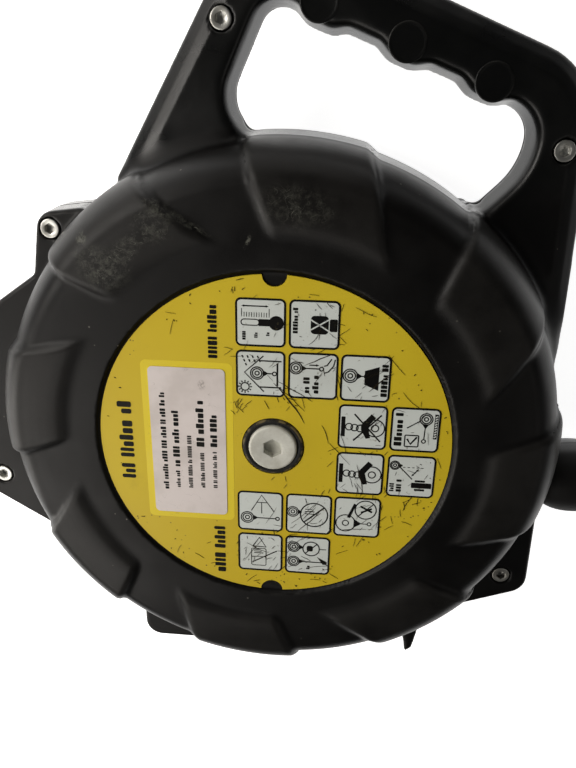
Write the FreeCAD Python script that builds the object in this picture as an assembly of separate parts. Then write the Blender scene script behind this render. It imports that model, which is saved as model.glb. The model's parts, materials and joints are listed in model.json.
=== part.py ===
import FreeCAD, Part
import math
import os

from FreeCAD import Vector

os.makedirs("parts", exist_ok=True)

# Self retracting lifeline lying on its back.
# +X runs from the anchor eye to the hook, +Y towards the carrying handle, +Z out of the front label.
# The origin is on the drum axis, in the plane that the back rests on.  Millimetres.

# ---- driving dimensions: housing ----
HALF = 44.5                     # half the housing thickness, so the parting plane is z = HALF
FLANGE = 14.0                   # thickness of the handle and the ears, from the parting plane
LABEL_FACE = 42.0               # label face above the parting plane
WALL = 3.2
DOME_R = 125.5                  # dome wall at the parting plane, over the raised pads
DOME_SHOULDER_R = 124.0
DOME_SHOULDER = 18.0            # height of the shoulder above the parting plane
CREST_R = 109.0                 # where the shoulder reaches the crown
PAD_RISE = 2.4                  # how far the raised pads stand above the dome
PAD_COUNT = 8
PAD_FIRST_DEG = 85.0            # bearing of the first pad, at the rim
PAD_HALF_DEG = 11.8             # half width of a pad at the rim
PAD_INNER_R = 89.0
PAD_SKEW_CCW_DEG = 6.0          # how far each side of a pad leans clockwise towards the label
PAD_SKEW_CW_DEG = 13.0
LABEL_R = 75.0
RECESS_R = 76.8
LABEL_THICK = 0.8
NOTCH_R = 5.0                   # half-round notches in the label's edge

# ---- driving dimensions: ends ----
AXIS_Y = -5.6                   # the anchor eye's place across the housing
EYE_X = -182.0
EYE_R = 11.0
LUG_R = 21.0
LUG_THICK = 8.0
NECK_X = -158.0                 # where the housing ends round the lug
OUTLET_Y = -28.5                # the rope's outlet
ROPE_R = 2.4
ROPE_BEND_X = 66.0              # where the rope bends into line with the outlet
ROPE_BEND_REACH = 10.0
GUIDE_X0 = 78.0
GUIDE_X1 = 123.5
GUIDE_R = 8.9
GUIDE_BORE_R = 2.7
COLLAR_X0 = 112.0               # the groove that holds the guide's collar
COLLAR_X1 = 117.0
COLLAR_R = 12.0
BUMPER_X0 = 124.5
BUMPER_LEN = 34.0

# ---- driving dimensions: shaft and its centre screws ----
SEAT = 4.4                      # depth of the seat round each centre screw, below the label face
BOSS = 1.6                      # floor left under the seat
SEAT_R = 13.4
CENTRE_SCREW_R = 5.0
CENTRE_HEAD_R = 10.3
CENTRE_HEAD_RISE = 2.0          # how far the front screw's head stands above the label
CENTRE_HEAD_SEAT = 1.6          # how far the front screw's head is sunk in its washer
WASHER_R = 13.0
CAP_R = 24.0

# ---- driving dimensions: drum ----
AXLE_R = 9.0
BUSH_R = 12.0
HUB_R = 16.0
CORE_R = 30.0
FLANGE_R = 68.0
ROPE_TURNS = 5                  # turns side by side in a layer
ROPE_LAYERS = 7
RUN_FIT = 0.05                  # radial clearance of every running fit

LAYER_R = CORE_R + ROPE_R * (2 * ROPE_LAYERS - 1) * 0.88   # centre line of the last layer, nested turns
BLOCK_R = LAYER_R - ROPE_R
DRUM_WIDTH = ROPE_TURNS * 2 * ROPE_R
DRUM_Z0 = HALF - DRUM_WIDTH / 2
DRUM_Z1 = HALF + DRUM_WIDTH / 2
CHEEK = 2.0                     # thickness of a drum flange
SPRING_CASE_R = 60.0
SPRING_FIRST_R = 16.0
SPRING_PITCH = 2.7
SPRING_TURNS = 15
SPRING_THICK = 0.9

# ---- driving dimensions: frame and brake ----
PLATE = 3.0
PLATE_GAP = 2.0                 # between a drum flange and its frame plate
REAR_PLATE_Z = 12.5             # the spring case fits between this plate and the drum
FRONT_PLATE_Z = DRUM_Z1 + CHEEK + PLATE_GAP
RATCHET_TEETH = 24
RATCHET_PHASE_DEG = 13.2        # puts a tooth gap in front of each pawl's nose
RATCHET_TIP_R = 46.0
RATCHET_ROOT_R = 50.5
RATCHET_OUT_R = 59.0
LINING = 2.0
RING = 6.0
PAWL_PIVOT_R = 29.0
PAWL_THICK = 4.6
PAWL_PIN_R = 2.4
CARRIER = 2.4
CARRIER_R = 38.0
CARRIER_Z = FRONT_PLATE_Z + PLATE + 1.0
RING_Z = FRONT_PLATE_Z + PLATE + LINING
PAWL_Z = CARRIER_Z + CARRIER
PRESSURE_PLATE = 2.5
PRESSURE_PLATE_R = 71.0
BRAKE_BOLT_R = 65.0
BRAKE_BOLT_DEG = [45, 135, 225, 315]
BRAKE_STUD_R = 2.5
SPACERS = [(77.5, -2), (-40, 78), (30, -86)]
SPACER_R = 6.0
RIVET_R = 3.0
RIVET_HEAD = 2.5
LUG_BOLTS = [(-93, AXIS_Y + 10), (-93, AXIS_Y - 10)]
LUG_BOLT_R = 4.0
LUG_BOLT_HEAD = 4.0

# ---- driving dimensions: snap hook ----
LOOP_X = 178.0                  # centre of the rope's eye
HOOK_X0 = 204.0                 # back of the hook's swivel boss
HOOK_THICK = 12.0
HOOK_GATE = (HOOK_X0 + 30.0, OUTLET_Y + 13.0)
HOOK_LEVER = (HOOK_X0 + 31.5, OUTLET_Y - 8.5)
GATE_PIN_R = 2.0
LEVER_PIN_R = 1.8
LEVER_DEG = 9.0                 # travel of the lock lever
SWIVEL_R = 5.0
FERRULE_R = 7.6
THIMBLE_R = 9.0                 # inside radius of the rope's eye

# ---- housing screws: (x, y), M5 socket heads ----
SCREWS = [(-99.7, 83.9), (-137.3, -38.7), (110.4, -79.4),
          (-24.1, 165.2), (109.3, 120.5), (-56.0, -117.9)]
SCREW_R = 2.5
SCREW_BOSS_R = 6.4
HEAD_R = 4.25
HEAD_HIGH = 4.6

Z_FRONT = HALF + FLANGE
Z_REAR = HALF - FLANGE
Z_LABEL = HALF + LABEL_FACE
Z_BACK = HALF - LABEL_FACE


# ---- drawing helpers ----
def unit(a, b):
    span = math.hypot(b[0] - a[0], b[1] - a[1])
    return (b[0] - a[0]) / span, (b[1] - a[1]) / span


def loop(corners, z=0.0):
    """Closed wire through corners (x, y, radius), each rounded by a tangent arc."""
    count = len(corners)
    stops = []
    for i in range(count):
        x, y, radius = corners[i]
        before = unit((x, y), corners[i - 1])
        after = unit((x, y), corners[(i + 1) % count])
        if radius <= 0:
            stops.append(((x, y), None, (x, y)))
            continue
        half = math.acos(max(-1, min(1, before[0] * after[0] + before[1] * after[1]))) / 2
        reach = radius / math.tan(half)
        bisector = (before[0] + after[0], before[1] + after[1])
        size = math.hypot(*bisector)
        depth = radius / math.sin(half) - radius
        middle = (x + bisector[0] / size * depth, y + bisector[1] / size * depth)
        stops.append(((x + before[0] * reach, y + before[1] * reach), middle,
                      (x + after[0] * reach, y + after[1] * reach)))
    edges = []
    for i in range(count):
        start, middle, end = stops[i]
        if middle:
            edges.append(Part.Arc(Vector(*start, z), Vector(*middle, z), Vector(*end, z)).toShape())
        following = stops[(i + 1) % count][0]
        if math.hypot(following[0] - end[0], following[1] - end[1]) > 1e-6:
            edges.append(Part.LineSegment(Vector(*end, z), Vector(*following, z)).toShape())
    return Part.Wire(edges)


def inset(corners, d):
    """The same counter-clockwise outline moved inwards by d, with matching corner radii."""
    count = len(corners)
    moved = []
    for i in range(count):
        x, y, radius = corners[i]
        ax, ay = unit(corners[i - 1], (x, y))
        bx, by = unit((x, y), corners[(i + 1) % count])
        turn = ax * by - ay * bx
        nx, ny = -(ay + by), ax + bx
        size = math.hypot(nx, ny)
        nx, ny = nx / size, ny / size
        step = d / (nx * -ay + ny * ax)
        grown = radius - d if turn > 0 else radius + d
        moved.append((x + nx * step, y + ny * step, max(grown, 0.3) if radius > 0 else 0))
    return moved


def slab(corners, z0, z1):
    return Part.Face(loop(corners, z0)).extrude(Vector(0, 0, z1 - z0))


def tapered(levels):
    """Solid through outlines given as (corners, z), with straight sides between them."""
    return Part.makeLoft([loop(corners, z) for corners, z in levels], True, True)


def rod(x, y, z0, z1, radius):
    return Part.makeCylinder(radius, z1 - z0, Vector(x, y, z0))


def tube(x, y, z0, z1, outer, inner):
    return rod(x, y, z0, z1, outer).cut(rod(x, y, z0 - 1, z1 + 1, inner))


def xrod(x0, x1, y, z, radius):
    return Part.makeCylinder(radius, x1 - x0, Vector(x0, y, z), Vector(1, 0, 0))


def turned(profile, bulge=None):
    """Solid of revolution about the drum axis.  bulge gives an arc's middle point for a side."""
    bulge = bulge or {}
    edges = []
    for i, (r, z) in enumerate(profile):
        nr, nz = profile[(i + 1) % len(profile)]
        if i in bulge:
            br, bz = bulge[i]
            edges.append(Part.Arc(Vector(r, 0, z), Vector(br, 0, bz), Vector(nr, 0, nz)).toShape())
        else:
            edges.append(Part.LineSegment(Vector(r, 0, z), Vector(nr, 0, nz)).toShape())
    return Part.Face(Part.Wire(edges)).revolve(Vector(0, 0, 0), Vector(0, 0, 1), 360)


def xturned(profile, y, z):
    """Solid of revolution about a line along +X; profile holds (x, radius)."""
    points = [Vector(x, y + r, z) for x, r in profile]
    face = Part.Face(Part.makePolygon(points + [points[0]]))
    return face.revolve(Vector(0, y, z), Vector(1, 0, 0), 360)


def hexagon(x, y, z0, z1, across):
    radius = across / math.sqrt(3)
    ring = [(x + radius * math.cos(math.radians(60 * k)), y + radius * math.sin(math.radians(60 * k)), 0)
            for k in range(6)]
    return slab(ring, z0, z1)


def turned_about_z(shape, degrees):
    copy = shape.copy()
    copy.rotate(Vector(0, 0, 0), Vector(0, 0, 1), degrees)
    return copy


def flipped(shape):
    """Mirror image in the parting plane."""
    return shape.mirror(Vector(0, 0, HALF), Vector(0, 0, 1))


def polar(radius, degrees):
    return radius * math.cos(math.radians(degrees)), radius * math.sin(math.radians(degrees))


NODES = {}


def keep(name, *solids):
    """One node; several solids stay separate in it."""
    NODES[name] = solids[0] if len(solids) == 1 else Part.makeCompound(list(solids))


# ---- housing outlines, counter-clockwise ----
EARS = [(NECK_X, -40.8, 10), (-96, -79.4, 0), (-71.2, -102, 0), (-71.2, -134, 9), (28, -134, 9),
        (34, -122.6, 5), (123.8, -87.6, 10), (121.5, 40, 0), (60, 90, 0), (-60, 108, 0),
        (-76, 94.6, 4), (-105.3, 90.8, 9), (-109.8, 63.6, 3), (NECK_X, 29.6, 10)]
HANDLE = [(122.6, 0, 0), (119.4, 149.7, 32), (-14.4, 202.6, 30), (-74.4, 98.7, 0), (-50, 70, 0),
          (50, 40, 0)]
HANDLE_BEVEL = 9.0
HANDLE_BEVEL_DEEP = 5.0
HORN = [(60, -104, 0), (67.6, -135.2, 1.5), (68.6, -142.0, 0.6), (72.2, -138.6, 2), (73.6, -131.5, 6),
        (79, -97, 0)]
HORN_HIGH = 4.0                 # half thickness of the small pointed fin under the dome

# The grip's underside is a sloping line with three finger bumps.
GRIP_START = (-7.6, 175.4)
GRIP_END = (99.3, 134.2)
BUMP_AT = [23.5, 57.5, 91.5]    # along the grip from its left end
BUMP_DEEP = 3.1


def hand_hole():
    """Corners of the hand hole where it meets the front face; its lower side lies inside the dome."""
    length = math.hypot(GRIP_END[0] - GRIP_START[0], GRIP_END[1] - GRIP_START[1])
    ex, ey = unit(GRIP_START, GRIP_END)

    def on_grip(along, down, radius):
        return GRIP_START[0] + ex * along + ey * down, GRIP_START[1] + ey * along - ex * down, radius

    corners = [(70, 84, 0), (97.6, 112.0, 30), on_grip(length, 0, 15)]
    for bump in reversed(BUMP_AT):
        corners += [on_grip(bump + 10.5, 0, 5), on_grip(bump + 4.6, BUMP_DEEP, 8),
                    on_grip(bump - 4.6, BUMP_DEEP, 8), on_grip(bump - 10.5, 0, 5)]
    corners += [on_grip(0, 0, 11), (-25.6, 136.2, 18), (-6, 108, 0)]
    return corners


# ---- dome ----
def dome(rise):
    """Half of the dome above the parting plane, solid.  rise = 0 is the skin between the pads."""
    drop = PAD_RISE - rise
    top = HALF + LABEL_FACE
    profile = [(0, HALF), (DOME_R - drop, HALF), (DOME_SHOULDER_R - drop, HALF + DOME_SHOULDER),
               (CREST_R, top + 1.6 - drop), (102, top + 2.5 - drop), (94, top + 2.5 - drop),
               (PAD_INNER_R, top + 2.1 - drop * 0.6), (RECESS_R, top + 1.0), (RECESS_R, top - LABEL_THICK),
               (0, top - LABEL_THICK)]
    bulge = {2: (DOME_SHOULDER_R - drop - 4.3, top - 7.6 - drop * 0.6)}
    return turned(profile, bulge)


def pad_block(bearing):
    """Skewed block that cuts one pad out of the raised dome."""
    far = DOME_R + 3
    reach = (far - PAD_INNER_R) / (DOME_R - PAD_INNER_R)
    left_far = bearing + PAD_HALF_DEG + PAD_SKEW_CCW_DEG * (reach - 1)
    right_far = bearing - PAD_HALF_DEG + PAD_SKEW_CW_DEG * (reach - 1)
    corners = [polar(far, right_far), polar(far, left_far),
               polar(PAD_INNER_R, bearing + PAD_HALF_DEG - PAD_SKEW_CCW_DEG),
               polar(PAD_INNER_R, bearing - PAD_HALF_DEG - PAD_SKEW_CW_DEG)]
    return slab([(x, y, 0) for x, y in corners], HALF, 2 * HALF + 1)


def dome_cavity():
    top = HALF + LABEL_FACE - LABEL_THICK - WALL
    profile = [(0, HALF - 1), (DOME_R - PAD_RISE - WALL, HALF - 1),
               (DOME_SHOULDER_R - PAD_RISE - WALL, HALF + DOME_SHOULDER),
               (CREST_R - 4, top - 1.5), (RECESS_R + 3, top), (0, top)]
    bulge = {2: (DOME_SHOULDER_R - PAD_RISE - WALL - 6, top - 9)}
    return turned(profile, bulge)


def grip_pocket():
    """Hollows inside the grip and the two posts."""
    low, high = HALF - 1, Z_FRONT - WALL
    grip = slab([(-2, 182, 4), (92, 145.5, 4), (96, 153, 4), (6, 188, 4)], low, high)
    left = slab([(-56, 119, 3), (-36, 124, 3), (-31, 140, 3), (-35, 151, 3)], low, high)
    right = slab([(109, 72, 2), (115, 66, 2), (113, 106, 2), (107, 106, 2)], low, high)
    return [grip, left, right]


def half_housing():
    """The front half, with everything the two halves share."""
    ears = tapered([(EARS, HALF), (inset(EARS, 0.4), Z_FRONT - 1.2), (inset(EARS, 1.4), Z_FRONT)])
    handle = tapered([(HANDLE, HALF), (inset(HANDLE, 0.4), Z_FRONT - HANDLE_BEVEL_DEEP),
                      (inset(HANDLE, HANDLE_BEVEL * 0.55), Z_FRONT - HANDLE_BEVEL_DEEP * 0.35),
                      (inset(HANDLE, HANDLE_BEVEL), Z_FRONT)])
    hole = hand_hole()
    window = tapered([(inset(hole, 2.6), HALF - 0.01), (hole, Z_FRONT - 2.5),
                      (inset(hole, -1.6), Z_FRONT + 0.01)])
    body = ears.fuse(handle).cut(window)
    body = body.fuse(slab(HORN, HALF, HALF + HORN_HIGH))
    raised = dome(PAD_RISE)
    pads = [raised.common(pad_block(PAD_FIRST_DEG + 360 / PAD_COUNT * k)) for k in range(PAD_COUNT)]
    body = body.fuse([dome(0)] + pads)
    body = body.cut([dome_cavity()] + grip_pocket())
    rim = ears.fuse(handle).cut(rod(0, 0, HALF, Z_FRONT, DOME_R - PAD_RISE - WALL))
    for x, y in SCREWS:
        body = body.fuse(rod(x, y, HALF, Z_FRONT - 1, SCREW_BOSS_R).common(rim))
    neck = slab([(NECK_X - 9, AXIS_Y - LUG_R - 0.4, 0), (-100, AXIS_Y - LUG_R - 0.4, 0),
                 (-100, AXIS_Y + LUG_R + 0.4, 0), (NECK_X - 9, AXIS_Y + LUG_R + 0.4, 0)],
                HALF - 1, HALF + LUG_THICK / 2 + 0.3)
    outlet_boss = xrod(102, 123, OUTLET_Y, HALF, 14.0)
    outlet_boss = outlet_boss.common(Part.makeBox(60, 60, 30, Vector(90, OUTLET_Y - 30, HALF)))
    centre_boss = rod(0, 0, Z_LABEL - SEAT - BOSS, Z_LABEL - LABEL_THICK - 1, SEAT_R + 3)
    body = body.fuse([outlet_boss, centre_boss])
    outlet_hole = xrod(90, 135, OUTLET_Y, HALF, GUIDE_R + 0.1)
    collar_groove = xrod(COLLAR_X0, COLLAR_X1, OUTLET_Y, HALF, COLLAR_R)
    seat = rod(0, 0, Z_LABEL - SEAT, Z_LABEL + 1, SEAT_R)
    screw_hole = rod(0, 0, HALF, Z_LABEL, CENTRE_SCREW_R + 0.3)
    return body.cut([neck, outlet_hole, collar_groove, seat, screw_hole])


def front_shell(half):
    cuts = []
    for x, y in SCREWS:
        cuts.append(rod(x, y, HALF - 1, Z_FRONT + 1, SCREW_R + 0.25))
        cuts.append(rod(x, y, Z_FRONT - HEAD_HIGH - 0.5, Z_FRONT + 1, HEAD_R + 0.45))
    return half.cut(cuts)


def rear_shell(half):
    cuts = []
    for x, y in SCREWS:
        cuts.append(rod(x, y, Z_REAR - 1, HALF + 1, SCREW_R + 0.25))
        cuts.append(hexagon(x, y, Z_REAR - 1, Z_REAR + 4.4, 8.2))
    return flipped(half).cut(cuts)


def housing():
    half = half_housing()
    keep("front_shell", front_shell(half))
    keep("rear_shell", rear_shell(half))
    label = rod(0, 0, Z_LABEL - LABEL_THICK, Z_LABEL, LABEL_R)
    label = label.cut([rod(0, LABEL_R, Z_LABEL - 2, Z_LABEL + 1, NOTCH_R),
                       rod(0, -LABEL_R, Z_LABEL - 2, Z_LABEL + 1, NOTCH_R),
                       rod(0, 0, Z_LABEL - 2, Z_LABEL + 1, SEAT_R)])
    keep("front_label", label)
    serial = [(-52.6, -35.6, 2), (-20.2, -35.6, 2), (-20.2, 34.4, 2), (-52.6, 34.4, 2)]
    keep("data_plate", slab(serial, Z_LABEL, Z_LABEL + 0.3))
    back = tube(0, 0, Z_BACK, Z_BACK + LABEL_THICK, LABEL_R, CAP_R + 0.2)
    keep("back_plate", back)
    screws, nuts = [], []
    for x, y in SCREWS:
        head = rod(x, y, Z_FRONT - HEAD_HIGH, Z_FRONT, HEAD_R)
        head = head.makeChamfer(0.5, [e for e in head.Edges if e.BoundBox.ZMin > Z_FRONT - 0.01])
        shank = rod(x, y, Z_REAR + 0.4, Z_FRONT - HEAD_HIGH, SCREW_R)
        screws.append(head.fuse(shank).cut(hexagon(x, y, Z_FRONT - 2.6, Z_FRONT + 1, 4.0)))
        nut = hexagon(x, y, Z_REAR + 0.4, Z_REAR + 4.4, 8.0)
        nuts.append(nut.cut(rod(x, y, Z_REAR - 1, Z_REAR + 6, SCREW_R)))
    keep("housing_screws", *screws)
    keep("housing_nuts", *nuts)


# ---- shaft and centre fasteners ----
def shaft():
    seat_front, seat_rear = Z_LABEL - SEAT, Z_BACK + SEAT
    z0, z1 = seat_rear + BOSS, seat_front - BOSS
    axle = rod(0, 0, z0, z1, AXLE_R).fuse(rod(0, 0, z0, REAR_PLATE_Z, AXLE_R + 3))
    keep("main_shaft", axle.cut([rod(0, 0, z1 - 16, z1 + 1, CENTRE_SCREW_R),
                                 rod(0, 0, z0 - 1, z0 + 14, CENTRE_SCREW_R)]))
    head_z0, head_z1 = Z_LABEL - CENTRE_HEAD_SEAT, Z_LABEL + CENTRE_HEAD_RISE
    head = rod(0, 0, head_z0, head_z1, CENTRE_HEAD_R)
    head = head.makeChamfer(1.0, [e for e in head.Edges if e.BoundBox.ZMin > head_z1 - 0.1])
    screw = head.fuse(rod(0, 0, z1 - 14, head_z0, CENTRE_SCREW_R - 0.02))
    keep("centre_screw", screw.cut(hexagon(0, 0, Z_LABEL - 1.2, Z_LABEL + 3, 6.8)))
    washer = tube(0, 0, seat_front, head_z0, WASHER_R, CENTRE_SCREW_R + 0.2)
    keep("centre_washer", washer.fuse(tube(0, 0, head_z0, Z_LABEL + 0.6, WASHER_R, CENTRE_HEAD_R + 0.3)))
    rear_head = rod(0, 0, seat_rear - 4.6, seat_rear, 8.5)
    rear_screw = rear_head.fuse(rod(0, 0, seat_rear, z0 + 12, CENTRE_SCREW_R - 0.02))
    keep("rear_screw", rear_screw.cut(hexagon(0, 0, seat_rear - 5, seat_rear - 2.2, 8.0)))
    cap = rod(0, 0, 0, 1.9, CAP_R)
    cap = cap.makeChamfer(0.8, [e for e in cap.Edges if e.BoundBox.ZMax < 0.01])
    skirt = tube(0, 0, 1.9, seat_rear, WASHER_R, 9.0)
    keep("rear_cap", cap.fuse([skirt, tube(0, 0, 1.9, Z_BACK, CAP_R, WASHER_R)]))


# ---- frame ----
def frame():
    outline = [(-103, AXIS_Y - 20, 5), (-70, -58, 12), (-20, -84, 12), (20, -96, 10), (42, -90, 10),
               (80, -30, 16), (86, 4, 10), (78, 20, 12), (40, 66, 24), (-28, 90, 10), (-50, 84, 10),
               (-72, 50, 16), (-103, AXIS_Y + 20, 5)]
    rear_in, front_out = REAR_PLATE_Z + PLATE, FRONT_PLATE_Z + PLATE
    rear = slab(outline, REAR_PLATE_Z, rear_in)
    front = slab(outline, FRONT_PLATE_Z, front_out)
    rear = rear.cut(rod(0, 0, 0, 90, AXLE_R))
    front = front.cut(rod(0, 0, 0, 90, HUB_R + 2.4))
    spacers, rivets = [], []
    for x, y in SPACERS:
        spacers.append(tube(x, y, rear_in, FRONT_PLATE_Z, SPACER_R, RIVET_R))
        rivet = rod(x, y, REAR_PLATE_Z - RIVET_HEAD, front_out + RIVET_HEAD, RIVET_R)
        rivets.append(rivet.fuse([rod(x, y, REAR_PLATE_Z - RIVET_HEAD, REAR_PLATE_Z, 5),
                                  rod(x, y, front_out, front_out + RIVET_HEAD, 5)]))
        rear = rear.cut(rod(x, y, 0, 90, RIVET_R))
        front = front.cut(rod(x, y, 0, 90, RIVET_R))
    bolts, lug_spacers = [], []
    lug_z0, lug_z1 = HALF - LUG_THICK / 2, HALF + LUG_THICK / 2
    lug = slab([(EYE_X, AXIS_Y - LUG_R, 0), (-83, AXIS_Y - LUG_R, 4), (-83, AXIS_Y + LUG_R, 4),
                (EYE_X, AXIS_Y + LUG_R, 0)], lug_z0, lug_z1)
    lug = lug.fuse(rod(EYE_X, AXIS_Y, lug_z0, lug_z1, LUG_R)).cut(rod(EYE_X, AXIS_Y, 0, 90, EYE_R))
    for x, y in LUG_BOLTS:
        hole = rod(x, y, 0, 90, LUG_BOLT_R)
        rear = rear.cut(hole)
        front = front.cut(hole)
        lug = lug.cut(hole)
        lug_spacers.append(tube(x, y, rear_in, lug_z0, 2 * LUG_BOLT_R, LUG_BOLT_R))
        lug_spacers.append(tube(x, y, lug_z1, FRONT_PLATE_Z, 2 * LUG_BOLT_R, LUG_BOLT_R))
        bolt = rod(x, y, REAR_PLATE_Z - LUG_BOLT_HEAD, front_out + LUG_BOLT_HEAD, LUG_BOLT_R)
        bolts.append(bolt.fuse([hexagon(x, y, REAR_PLATE_Z - LUG_BOLT_HEAD, REAR_PLATE_Z, 13),
                                hexagon(x, y, front_out, front_out + LUG_BOLT_HEAD, 13)]))
    for deg in BRAKE_BOLT_DEG:
        front = front.cut(rod(*polar(BRAKE_BOLT_R, deg), 0, 90, BRAKE_STUD_R))
    keep("rear_frame_plate", rear)
    keep("front_frame_plate", front)
    keep("frame_spacers", *spacers)
    keep("frame_rivets", *rivets)
    keep("anchor_lug", lug)
    keep("lug_spacers", *lug_spacers)
    keep("lug_bolts", *bolts)


# ---- drum, rope and power spring ----
def drum():
    z0, z1 = DRUM_Z0 - CHEEK, DRUM_Z1 + CHEEK
    cheeks = [rod(0, 0, z0, DRUM_Z0, FLANGE_R), rod(0, 0, DRUM_Z1, z1, FLANGE_R)]
    core = rod(0, 0, z0, z1, CORE_R).fuse(cheeks)
    core = core.fuse(rod(0, 0, z1, CARRIER_Z, HUB_R))
    core = core.cut(rod(0, 0, 0, 90, BUSH_R))
    windows = [rod(*polar(21.5, 90 * k), z0 - 1, z1 + 1, 3.6) for k in range(4)]
    keep("rope_drum", core.cut(windows))
    keep("rear_bush", tube(0, 0, z0, DRUM_Z0 + 6, BUSH_R, AXLE_R + RUN_FIT))
    keep("front_bush", tube(0, 0, DRUM_Z1 - 4, CARRIER_Z, BUSH_R, AXLE_R + RUN_FIT))
    block = tube(0, 0, DRUM_Z0, DRUM_Z1, BLOCK_R, CORE_R)
    turns = []
    for k in (-2, -1, 1, 2):
        turns.append(Part.makeTorus(LAYER_R, ROPE_R - 0.02, Vector(0, 0, HALF + 2 * ROPE_R * k)))
    keep("wound_rope", block.fuse(turns))


def rope_lead():
    """The rope from the drum's last turn to the straight stub in the outlet guide."""
    radius = ROPE_R - 0.05
    dx, dy = ROPE_BEND_X, OUTLET_Y
    span = math.hypot(dx, dy)
    bearing = math.degrees(math.atan2(dy, dx)) - math.degrees(math.acos(LAYER_R / span))
    tx, ty = polar(LAYER_R, bearing)
    sweep_deg = 100.0
    sx, sy = polar(LAYER_R, bearing - sweep_deg)
    mx, my = polar(LAYER_R, bearing - sweep_deg / 2)
    wrap = Part.Arc(Vector(sx, sy, HALF), Vector(mx, my, HALF), Vector(tx, ty, HALF)).toShape()
    ux, uy = unit((tx, ty), (dx, dy))
    run = math.hypot(dx - tx, dy - ty)
    turn = math.atan2(uy, ux)
    reach = ROPE_BEND_REACH
    arc = reach / math.tan(turn / 2)
    enter = (dx - ux * reach, dy - uy * reach)
    half = turn / 2
    middle = (dx + reach - arc * math.sin(half), dy - arc + arc * math.cos(half))
    print("rope lead: run %.1f mm, bend radius %.1f mm" % (run, arc))
    line = Part.LineSegment(Vector(tx, ty, HALF), Vector(*enter, HALF)).toShape()
    bend = Part.Arc(Vector(*enter, HALF), Vector(*middle, HALF), Vector(dx + reach, dy, HALF)).toShape()
    wire = Part.Wire([wrap, line, bend])
    heading = Vector(math.sin(math.radians(bearing - sweep_deg)) * -1,
                     math.cos(math.radians(bearing - sweep_deg)), 0)
    section = Part.Wire(Part.makeCircle(radius, Vector(sx, sy, HALF), heading))
    solid = wire.makePipeShell([section], True, True)
    print("rope lead length %.1f mm, volume ratio %.4f" % (
        wire.Length, solid.Volume / (math.pi * radius ** 2 * wire.Length)))
    keep("rope_lead", solid)
    return dx + reach


def spiral_band(first_r, pitch, turns, thick, z0, z1):
    """Flat spiral strip built of half circles whose centres alternate."""
    rims = []
    for side in (-thick / 2, thick / 2):
        edges = []
        for k in range(2 * turns):
            radius = first_r + k * pitch / 2
            centre = 0 if k % 2 == 0 else pitch / 2
            sign = 1 if k % 2 == 0 else -1
            r = radius + side
            edges.append(Part.Arc(Vector(centre + sign * r, 0, z0), Vector(centre, sign * r, z0),
                                  Vector(centre - sign * r, 0, z0)).toShape())
        rims.append(edges)
    inner, outer = rims
    ends = [Part.LineSegment(inner[0].Vertexes[0].Point, outer[0].Vertexes[0].Point).toShape(),
            Part.LineSegment(inner[-1].Vertexes[-1].Point, outer[-1].Vertexes[-1].Point).toShape()]
    wire = Part.Wire(Part.__sortEdges__(inner + outer + ends))
    return Part.Face(wire).extrude(Vector(0, 0, z1 - z0))


def power_spring():
    case_z0, case_z1 = REAR_PLATE_Z + PLATE + 1.0, DRUM_Z0 - CHEEK
    case = tube(0, 0, case_z0, case_z1, SPRING_CASE_R, SPRING_CASE_R - 2)
    keep("spring_case", case.fuse(tube(0, 0, case_z0, case_z0 + 1.5, SPRING_CASE_R, AXLE_R + 4)))
    low, high = case_z0 + 2.0, case_z1 - 0.5
    band = spiral_band(SPRING_FIRST_R, SPRING_PITCH, SPRING_TURNS, SPRING_THICK, low, high)
    inner_hook = Part.makeBox(SPRING_FIRST_R - AXLE_R - 0.2, SPRING_THICK, high - low,
                              Vector(AXLE_R + 0.2, 0, low))
    keep("power_spring", band.fuse(inner_hook))


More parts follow.
